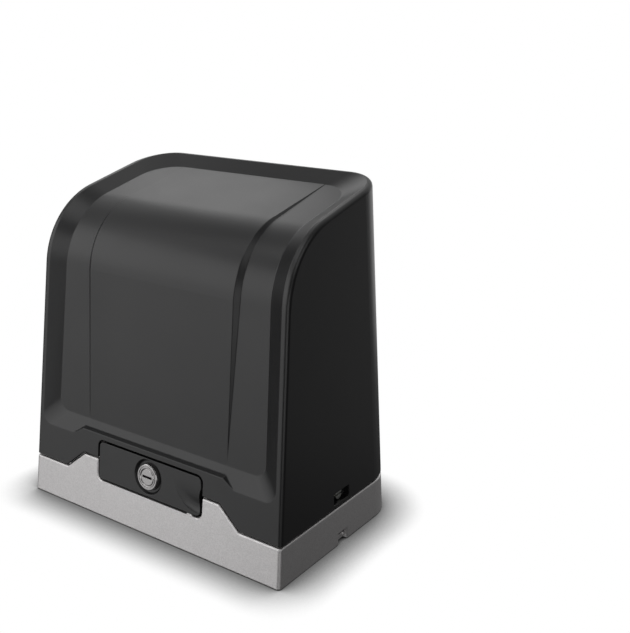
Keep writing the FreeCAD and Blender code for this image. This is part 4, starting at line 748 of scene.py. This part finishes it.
class NodeMesh:
    """A Geometry Nodes tree with named sizes, which is turned into one plain mesh."""

    def __init__(self, name: str, sizes: dict[str, float]) -> None:
        """Make an empty tree with one float input for each size.

        Args:
            name: the tree's name, and its mesh's.
            sizes: the named sizes.
        """
        self.name = name
        self.sizes = sizes
        self.tree = bpy.data.node_groups.new(name, "GeometryNodeTree")
        self.tree.interface.new_socket("Geometry", in_out="OUTPUT", socket_type="NodeSocketGeometry")
        self.keys: dict[str, str] = {}
        for size in sizes:
            socket = self.tree.interface.new_socket(size, in_out="INPUT", socket_type="NodeSocketFloat")
            self.keys[size] = socket.identifier
        self.source = self.tree.nodes.new("NodeGroupInput")

    def size(self, name: str) -> bpy.types.NodeSocket:
        """The output that carries a named size."""
        return self.source.outputs[name]

    def node(self, kind: str, settings: Optional[dict] = None, sockets: Optional[dict] = None,
             output: Union[int, str] = 0) -> bpy.types.NodeSocket:
        """Add a node and return one of its outputs."""
        return add_node(self.tree, kind, settings, sockets).outputs[output]

    def row(self, shape: bpy.types.NodeSocket, count: int, start: Vector,
            step: dict[str, bpy.types.NodeSocket]) -> bpy.types.NodeSocket:
        """Repeat a shape along a line.

        Args:
            shape: what is repeated.
            count: how many stand in the row.
            start: the first one's place.
            step: the named size between neighbours, by axis letter.

        Returns:
            The instances.
        """
        offset = self.node("ShaderNodeCombineXYZ", None, step)
        points = self.node("GeometryNodeMeshLine", {"mode": "OFFSET"},
                           {"Count": count, "Start Location": start, "Offset": offset})
        return self.node("GeometryNodeInstanceOnPoints", None, {"Points": points, "Instance": shape})

    def shape_of(self, template: bpy.types.Object) -> bpy.types.NodeSocket:
        """Bring in a template's mesh."""
        return self.node("GeometryNodeObjectInfo", None, {"Object": template}, "Geometry")

    def mesh(self, geometry: bpy.types.NodeSocket, material: bpy.types.Material) -> bpy.types.Mesh:
        """Close the tree and evaluate it.

        Args:
            geometry: what the tree makes.
            material: its finish.

        Returns:
            The plain mesh.
        """
        solid = self.node("GeometryNodeRealizeInstances", None, {"Geometry": geometry})
        dressed = self.node("GeometryNodeSetMaterial", None, {"Geometry": solid, "Material": material})
        sink = self.tree.nodes.new("NodeGroupOutput")
        self.tree.links.new(dressed, sink.inputs[0])
        empty = bpy.data.meshes.new(self.name + "_carrier")
        carrier = bpy.data.objects.new(self.name + "_carrier", empty)
        bpy.context.scene.collection.objects.link(carrier)
        modifier = carrier.modifiers.new("nodes", "NODES")
        modifier.node_group = self.tree
        for size, value in self.sizes.items():
            modifier[self.keys[size]] = value
        evaluated = carrier.evaluated_get(bpy.context.evaluated_depsgraph_get())
        made = bpy.data.meshes.new_from_object(evaluated)
        made.name = self.name
        bpy.data.objects.remove(carrier)
        return made


class Shape:
    """A mesh under construction from rounded blocks and turned forms."""

    smooth_up_to: float = math.radians(40)
    faces_up: float = 0.9

    def __init__(self) -> None:
        """Start empty."""
        self.work = bmesh.new()

    def block(self, low: Sequence[float], high: Sequence[float], edge: float) -> "Shape":
        """Add a block with rounded edges.

        Args:
            low: its lowest corner.
            high: its highest corner.
            edge: the edges' radius.

        Returns:
            The same shape.
        """
        made = bmesh.ops.create_cube(self.work, size=1.0)["verts"]
        low, high = Vector(low), Vector(high)
        for vertex in made:
            share = vertex.co + Vector((0.5, 0.5, 0.5))
            vertex.co = Vector(a + (b - a) * s for a, b, s in zip(low, high, share))
        edges = {item for vertex in made for item in vertex.link_edges}
        bmesh.ops.bevel(self.work, geom=list(edges), offset=edge, segments=2, profile=0.5,
                        affect="EDGES")
        return self

    def turned(self, foot: Sequence[float], profile: Sequence[tuple[float, float]], sides: int,
               axis: str = "Z") -> "Shape":
        """Add a form turned about an axis.

        Args:
            foot: the point that heights are measured from.
            profile: (radius, height) pairs from the lower pole to the upper one.
            sides: how many faces go round.
            axis: the axis letter of the turning.

        Returns:
            The same shape.
        """
        rings = []
        for radius, height in profile:
            count = sides if radius > 0 else 1
            ring = []
            for i in range(count):
                angle = 2 * math.pi * i / count
                a, b = radius * math.cos(angle), radius * math.sin(angle)
                place = {"X": (height, a, b), "Y": (b, height, a), "Z": (a, b, height)}[axis]
                ring.append(self.work.verts.new(Vector(foot) + Vector(place)))
            rings.append(ring)
        for lower, upper in zip(rings, rings[1:]):
            for i in range(sides):
                corners = []
                for ring, index in ((lower, i), (lower, i + 1), (upper, i + 1), (upper, i)):
                    vertex = ring[index % len(ring)]
                    if vertex not in corners:
                        corners.append(vertex)
                if len(corners) > 2:
                    self.work.faces.new(corners)
        return self

    def cut_slot(self, low: Sequence[float], high: Sequence[float]) -> "Shape":
        """Sink the top faces that lie inside a box to the box's floor, as a screwdriver slot.

        Args:
            low: the box's lowest corner.
            high: its highest corner.

        Returns:
            The same shape.
        """
        for axis, wall in ((0, low[0]), (0, high[0]), (1, low[1]), (1, high[1])):
            normal = Vector((1, 0, 0)) if axis == 0 else Vector((0, 1, 0))
            place = Vector((wall, 0, 0)) if axis == 0 else Vector((0, wall, 0))
            every = self.work.verts[:] + self.work.edges[:] + self.work.faces[:]
            bmesh.ops.bisect_plane(self.work, geom=every, plane_co=place, plane_no=normal)
        inside = []
        for face in self.work.faces:
            centre = face.calc_center_median()
            within = all(low[i] < centre[i] < high[i] for i in (0, 1))
            if within and face.normal.z > self.faces_up:
                inside.append(face)
        moved = bmesh.ops.extrude_face_region(self.work, geom=inside)["geom"]
        bmesh.ops.delete(self.work, geom=inside, context="FACES")
        for vertex in moved:
            if isinstance(vertex, bmesh.types.BMVert):
                vertex.co.z = low[2]
        return self

    def mesh(self, name: str) -> bpy.types.Mesh:
        """Close the shape, its faces outwards and smooth up to an angle.

        Args:
            name: the mesh's name.

        Returns:
            The mesh.
        """
        bmesh.ops.recalc_face_normals(self.work, faces=self.work.faces)
        made = bpy.data.meshes.new(name)
        self.work.to_mesh(made)
        self.work.free()
        made.shade_smooth()
        made.set_sharp_from_angle(angle=self.smooth_up_to)
        return made


def carry(name: str, mesh: bpy.types.Mesh, body: str, finish: Finish) -> bpy.types.Object:
    """Put a new mesh on a body, with its finish.

    Args:
        name: the piece's name.
        mesh: its mesh, in place.
        body: the body that it rides on.
        finish: its finish.

    Returns:
        The piece.
    """
    mesh.materials.clear()
    mesh.materials.append(finish.material())
    piece = bpy.data.objects.new(name, mesh)
    bpy.context.scene.collection.objects.link(piece)
    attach(piece, body)
    log.info("%s added: %d faces", name, len(mesh.polygons))
    return piece


def widths(**millimetres: float) -> dict[str, float]:
    """A field with the width of each node's rounded edges, from millimetres."""
    return field(default_factory=lambda: {
        node: width * MILLIMETRE for node, width in millimetres.items()})


def scaled(profile: Profile, radius: float, height: float) -> list[tuple[float, float]]:
    """A profile given in shares, at a radius and a height."""
    return [(radius * across, height * up) for across, up in profile]


@dataclass
class SubAssembly:
    """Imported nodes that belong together: some rounded at their edges, some only dressed."""

    rounded: dict[str, float] = field(default_factory=dict)
    plain: tuple[str, ...] = ()

    def build(self) -> None:
        """Make the softened copies and whatever the nodes lack."""
        for node, width in self.rounded.items():
            soften(node, width)

    def dress(self) -> None:
        """Give the nodes that stay as they are their finish."""
        dress(self.plain)


@dataclass
class Hood(SubAssembly):
    """The moulded cover and the two screws that hold it."""

    rounded: dict[str, float] = widths(cover_shell=0.6, cover_screws=0.25)


@dataclass
class BaseTray(SubAssembly):
    """The silver base and the rubber ring of its cable entry."""

    rounded: dict[str, float] = widths(base_tray=1.4, cable_grommet=0.6)


@dataclass
class ReleaseDoor(SubAssembly):
    """The release door with its lock, its hinge and the rod that it pushes."""

    rounded: dict[str, float] = widths(
        release_lever=0.5, lock_housing=0.15, lock_plug=0.15, lock_tongue=0.3, lock_nut=0.3,
        lever_bracket=0.3)
    plain: tuple[str, ...] = ("tongue_screw", "lever_pin", "bracket_screws", "push_rod")


@dataclass
class GearDrive(SubAssembly):
    """The worm drive in its cast case, the clutch and the rack pinion."""

    rounded: dict[str, float] = widths(
        gearbox_housing=0.8, gearbox_cover=0.7, drive_pinion=0.3, pinion_washer=0.3,
        pinion_screw=0.3, gearbox_bolts=0.3, dog_clutch=0.3)
    plain: tuple[str, ...] = (
        "gearbox_screws", "worm_shaft", "worm_bearings", "worm_wheel", "wheel_spacer", "clutch_pin",
        "output_shaft", "output_bearings", "output_seal", "pinion_key")
    spring_turns: float = 5.0
    spring_wire: float = 1.1 * MILLIMETRE
    spring_steps: int = 40
    wire_sides: int = 12
    spring_seat: float = 50.3 * MILLIMETRE
    clutch_travel: float = 4.0 * MILLIMETRE

    def build(self) -> None:
        """Make the softened copies, and a coil in the place of the imported spring."""
        super().build()
        low, high = (Vector(corner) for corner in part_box("clutch_spring"))
        middle = (low + high) / 2
        nodes = NodeMesh("clutch_spring_coil", {
            "radius": (high.z - low.z) / 2 - self.spring_wire,
            "wire": self.spring_wire,
            "height": high.y - low.y - 2 * self.spring_wire,
        })
        path = nodes.node("GeometryNodeCurveSpiral", None, {
            "Resolution": self.spring_steps,
            "Rotations": self.spring_turns,
            "Height": nodes.size("height"),
            "Start Radius": nodes.size("radius"),
            "End Radius": nodes.size("radius"),
        })
        round_wire = nodes.node("GeometryNodeCurvePrimitiveCircle", None, {
            "Resolution": self.wire_sides, "Radius": nodes.size("wire")})
        coil = nodes.node("GeometryNodeCurveToMesh", None, {
            "Curve": path, "Profile Curve": round_wire, "Fill Caps": True})
        placed = nodes.node("GeometryNodeTransform", None, {
            "Geometry": coil, "Rotation": (math.radians(-90), 0, 0),
            "Translation": Vector((middle.x, low.y + self.spring_wire, middle.z))})
        finish = FINISHES[slot_of("clutch_spring")]
        mesh = nodes.mesh(placed, finish.material())
        mesh.shade_smooth()
        spring = carry("clutch_spring_coil", mesh, body_of("clutch_spring"), finish)
        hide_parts("clutch_spring")
        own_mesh(spring)


@dataclass
class MotorUnit(SubAssembly):
    """The motor: two cast shields with the stack of sheets between them."""

    rounded: dict[str, float] = widths(motor_flange=0.8, motor_end_cap=0.7, motor_tie_bolts=0.25)
    plain: tuple[str, ...] = ("motor_stator", "motor_windings", "rotor_core")
    sheet_pitch: float = 1.5 * MILLIMETRE
    sheet_proud: float = 0.18 * MILLIMETRE
    sheet_share: float = 0.62
    sheet_sides: int = 72

    def build(self) -> None:
        """Round the castings and lay the edges of the stator's sheets round it."""
        super().build()
        low, high = (Vector(corner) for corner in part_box("motor_stator"))
        radius = (high.z - low.z) / 2
        count = int((high.x - low.x) / self.sheet_pitch) - 1
        nodes = NodeMesh("stator_sheets", {
            "pitch": self.sheet_pitch,
            "radius": radius + self.sheet_proud,
            "width": self.sheet_pitch * self.sheet_share,
        })
        ring = nodes.node("GeometryNodeMeshCylinder", {"fill_type": "NONE"}, {
            "Vertices": self.sheet_sides,
            "Radius": nodes.size("radius"),
            "Depth": nodes.size("width"),
        }, "Mesh")
        turned = nodes.node("GeometryNodeTransform", None, {
            "Geometry": ring, "Rotation": (0, math.radians(90), 0)})
        middle = (low + high) / 2
        start = Vector((low.x + self.sheet_pitch, middle.y, middle.z))
        rings = nodes.row(turned, count, start, {"X": nodes.size("pitch")})
        finish = FINISHES["lamination_steel"]
        mesh = nodes.mesh(rings, finish.material())
        mesh.shade_smooth()
        carry("stator_sheets", mesh, body_of("motor_stator"), finish)


@dataclass
class RunCapacitor(SubAssembly):
    """The motor's capacitor in its clip."""

    rounded: dict[str, float] = widths(capacitor_clip=0.3)
    plain: tuple[str, ...] = ("run_capacitor", "clip_screw")


@dataclass
class ControlBoard(SubAssembly):
    """The circuit board on its stand, with the parts soldered to it."""

    rounded: dict[str, float] = widths(
        board_stand=0.4, board_terminals=0.25, board_relays=0.5, transformer=0.5)
    plain: tuple[str, ...] = ("stand_screws", "board_post", "control_board", "board_spacers")
    pin_pitch: float = 2.54 * MILLIMETRE
    terminal_pitch: float = 7.5 * MILLIMETRE
    terminal_count: int = 10
    terminal_hole: Point = (0, 8.0, -3.9)
    terminal_head: tuple[float, float] = (1.85 * MILLIMETRE, 1.5 * MILLIMETRE)
    corner_head: tuple[float, float] = (2.8 * MILLIMETRE, 1.9 * MILLIMETRE)
    head_profile: Profile = ((0, 0), (1, 0), (1, 0.55), (0.92, 0.85), (0.7, 1), (0, 1))
    head_slot: float = 0.16
    head_sides: int = 20
    spacer_radius: float = 3.5 * MILLIMETRE
    part_edge: float = 0.35 * MILLIMETRE
    chip_boxes: tuple[Box, ...] = (
        ((-24, -16.5, 0.8), (11.5, -9.5, 4.2)), ((18, -16.5, 0.8), (28, -10, 4.0)))
    leg_box: Box = ((-0.7, -0.25, 0), (0.7, 0.25, 2.6))
    leg_edge: float = 0.1 * MILLIMETRE
    leg_line: float = -17.0
    leg_rows: tuple[tuple[str, int, float, float], ...] = (
        ("chip_legs", 14, -22.8, 8.0), ("small_chip_legs", 4, 19.2, 7.5))
    clock_box: Box = ((-24, -6.0, 0.2), (-13.5, -2.0, 3.6))
    clock_edge: float = 1.2 * MILLIMETRE
    resistor_count: int = 9
    resistor_start: tuple[float, float] = (-8, -0.5)
    resistor_pitch: float = 4.6 * MILLIMETRE
    resistor_radius: float = 1.15 * MILLIMETRE
    resistor_length: float = 6.3 * MILLIMETRE
    resistor_rise: float = 1.4 * MILLIMETRE
    resistor_sides: int = 14
    resistor_profile: Profile = (
        (0, 0), (0.7, 0.02), (1, 0.08), (1, 0.2), (0.86, 0.26), (0.86, 0.74), (1, 0.8), (1, 0.92),
        (0.7, 0.98), (0, 1))
    lead_radius: float = 0.3 * MILLIMETRE
    lead_length: float = 1.6 * MILLIMETRE
    lead_sides: int = 8
    lead_profile: Profile = ((0, 0), (1, 0), (1, 1), (0, 1))
    solder_profile: Profile = ((0, 0), (3, 0), (2, 0.5), (1, 0.7), (1, 1), (0, 1))
    cans: tuple[tuple[float, float, float, float], ...] = (
        (-62, -12, 6.4, 21), (-62, 3, 6.4, 21), (-47, -14, 4.0, 12), (-47, -4, 4.0, 12))
    can_sides: int = 32
    sleeve_profile: Profile = (
        (0, 0), (0.96, 0), (1, 0.03), (1, 0.1), (0.94, 0.13), (1, 0.16), (1, 0.97), (0.94, 1),
        (0.82, 1), (0.8, 0.985), (0, 0.985))
    top_profile: Profile = ((0, 0.98), (0.8, 0.98), (0.78, 0.995), (0, 0.995))
    bank_box: Box = ((-46, -33, 0), (-33.8, -24, 5.5))
    bank_edge: float = 0.4 * MILLIMETRE
    slider_count: int = 4
    slider_start: Point = (-43.8, -27.5, 5.7)
    slider_box: Box = ((-0.8, -1.0, -0.6), (0.8, 1.0, 0.6))
    slider_edge: float = 0.15 * MILLIMETRE
    button_columns: tuple[float, ...] = (44, 54)
    button_box: Box = ((-3, -31, 0), (3, -25, 3.5))
    cap_place: tuple[float, float] = (-28, 3.3)
    cap_sides: int = 20
    cap_profile: Profile = ((0, 0), (1.7, 0), (1.7, 1.3), (1.4, 1.7), (0, 1.7))
    middle: Vector = field(init=False)
    body: str = field(init=False)

    def build(self) -> None:
        """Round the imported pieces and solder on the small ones."""
        super().build()
        low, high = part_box("control_board")
        self.middle = Vector(((low[0] + high[0]) / 2, (low[1] + high[1]) / 2, high[2]))
        self.body = body_of("control_board")
        self._terminal_screws()
        self._corner_screws()
        self._chips()
        self._resistors()
        self._capacitors()
        self._switches()

    def at(self, x: float, y: float, z: float = 0.0) -> Vector:
        """A point on the board, in millimetres from the middle of its top."""
        return self.middle + Vector((x, y, z)) * MILLIMETRE

    def _row(self, name: str, template: bpy.types.Mesh, count: int, start: Vector, pitch: float,
             finish: Finish, rows: int = 1, row_pitch: float = 0.0) -> None:
        """Repeat a small part along X, and the row along Y.

        Args:
            name: the new piece's name.
            template: the part, about the origin.
            count: how many stand in a row.
            start: the first one's place.
            pitch: the distance along X.
            finish: the piece's finish.
            rows: how many rows there are.
            row_pitch: the distance along Y.
        """
        holder = bpy.data.objects.new(name + "_template", template)
        nodes = NodeMesh(name, {"pitch": pitch, "row_pitch": row_pitch})
        row = nodes.row(nodes.shape_of(holder), count, Vector(), {"X": nodes.size("pitch")})
        block = nodes.row(row, rows, start, {"Y": nodes.size("row_pitch")})
        mesh = nodes.mesh(block, finish.material())
        bpy.data.objects.remove(holder)
        carry(name, mesh, self.body, finish)

    def _screw_head(self, name: str, radius: float, height: float) -> bpy.types.Mesh:
        """Make a slotted pan head that stands on the origin.

        Args:
            name: the mesh's name.
            radius: the head's radius.
            height: its height; the slot goes half way down.

        Returns:
            The mesh.
        """
        shape = Shape().turned((0, 0, 0), scaled(self.head_profile, radius, height), self.head_sides)
        slot = radius * self.head_slot
        shape.cut_slot((-2 * radius, -slot, height / 2), (2 * radius, slot, height * 2))
        return shape.mesh(name)

    def _terminal_screws(self) -> None:
        """The clamp screws down in the terminal strip's holes."""
        low, high = (Vector(corner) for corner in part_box("board_terminals"))
        start = Vector((low.x + self.terminal_pitch / 2, low.y, high.z))
        start += Vector(self.terminal_hole) * MILLIMETRE
        head = self._screw_head("terminal_screw", *self.terminal_head)
        self._row("terminal_screws", head, self.terminal_count, start, self.terminal_pitch,
                  FINISHES["zinc_steel"])

    def _corner_screws(self) -> None:
        """The four screws that hold the board to its spacers."""
        low, high = (Vector(corner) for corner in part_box("board_spacers"))
        inset = self.spacer_radius
        start = Vector((low.x + inset, low.y + inset, self.middle.z))
        head = self._screw_head("corner_screw", *self.corner_head)
        self._row("board_screws", head, 2, start, high.x - low.x - 2 * inset, FINISHES["zinc_steel"],
                  2, high.y - low.y - 2 * inset)

    def _chips(self) -> None:
        """Two chips, their legs and the clock's can."""
        chips = Shape()
        for low, high in self.chip_boxes:
            chips.block(self.at(*low), self.at(*high), self.part_edge)
        carry("board_chips", chips.mesh("board_chips"), self.body, FINISHES["chip_black"])
        foot, top = (Vector(corner) * MILLIMETRE for corner in self.leg_box)
        for name, count, x, across in self.leg_rows:
            leg = Shape().block(foot, top, self.leg_edge)
            self._row(name, leg.mesh(name + "_leg"), count, self.at(x, self.leg_line), self.pin_pitch,
                      FINISHES["zinc_steel"], 2, across * MILLIMETRE)
        low, high = self.clock_box
        can = Shape().block(self.at(*low), self.at(*high), self.clock_edge)
        carry("clock_can", can.mesh("clock_can"), self.body, FINISHES["bright_steel"])

    def _resistors(self) -> None:
        """A row of resistors with their wires bent into the board."""
        length, rise, thin = self.resistor_length, self.resistor_rise, self.lead_radius
        start = self.at(*self.resistor_start)
        barrel = scaled(self.resistor_profile, self.resistor_radius, length)
        body = Shape().turned((0, -length / 2, rise), barrel, self.resistor_sides, "Y")
        self._row("board_resistors", body.mesh("resistor"), self.resistor_count, start,
                  self.resistor_pitch, FINISHES["resistor_tan"])
        reach = length / 2 + self.lead_length
        lead = scaled(self.lead_profile, thin, 2 * reach)
        wire = Shape().turned((0, -reach, rise), lead, self.lead_sides, "Y")
        for end in (-reach + thin, reach - thin):
            wire.turned((0, end, 0), scaled(self.solder_profile, thin, rise), self.lead_sides)
        self._row("resistor_wires", wire.mesh("resistor_wire"), self.resistor_count, start,
                  self.resistor_pitch, FINISHES["zinc_steel"])

    def _capacitors(self) -> None:
        """Upright smoothing capacitors: a dark sleeve rolled over a bright top."""
        sleeves, tops = Shape(), Shape()
        for x, y, radius, height in self.cans:
            size = (radius * MILLIMETRE, height * MILLIMETRE)
            sleeves.turned(self.at(x, y), scaled(self.sleeve_profile, *size), self.can_sides)
            tops.turned(self.at(x, y), scaled(self.top_profile, *size), self.can_sides)
        carry("smoothing_sleeves", sleeves.mesh("smoothing_sleeves"), self.body, FINISHES["chip_black"])
        carry("smoothing_tops", tops.mesh("smoothing_tops"), self.body, FINISHES["zinc_steel"])

    def _switches(self) -> None:
        """The setting switches and two push buttons by the front edge."""
        low, high = self.bank_box
        bank = Shape().block(self.at(*low), self.at(*high), self.bank_edge)
        carry("switch_bank", bank.mesh("switch_bank"), self.body, FINISHES["relay_plastic"])
        low, high = (Vector(corner) * MILLIMETRE for corner in self.slider_box)
        slider = Shape().block(low, high, self.slider_edge)
        self._row("switch_sliders", slider.mesh("switch_slider"), self.slider_count,
                  self.at(*self.slider_start), self.pin_pitch, FINISHES["white_plastic"])
        cases, caps = Shape(), Shape()
        (left, front, foot), (right, rear, top) = self.button_box
        cap = scaled(self.cap_profile, MILLIMETRE, MILLIMETRE)
        for x in self.button_columns:
            cases.block(self.at(x + left, front, foot), self.at(x + right, rear, top), self.part_edge)
            caps.turned(self.at(x, *self.cap_place), cap, self.cap_sides)
        carry("button_cases", cases.mesh("button_cases"), self.body, FINISHES["zinc_steel"])
        carry("button_caps", caps.mesh("button_caps"), self.body, FINISHES["chip_black"])


def main() -> None:
    """Build the studio and every sub-assembly of the motor, in order."""
    logging.basicConfig(level=logging.INFO, format="%(name)s: %(message)s")
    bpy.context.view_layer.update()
    Studio().build()
    parts = (Hood(), BaseTray(), ReleaseDoor(), GearDrive(), MotorUnit(), RunCapacitor(), ControlBoard())
    for part in parts:
        part.build()
        part.dress()
        log.info("%s is done", type(part).__name__)


if __name__ == "__main__":
    main()
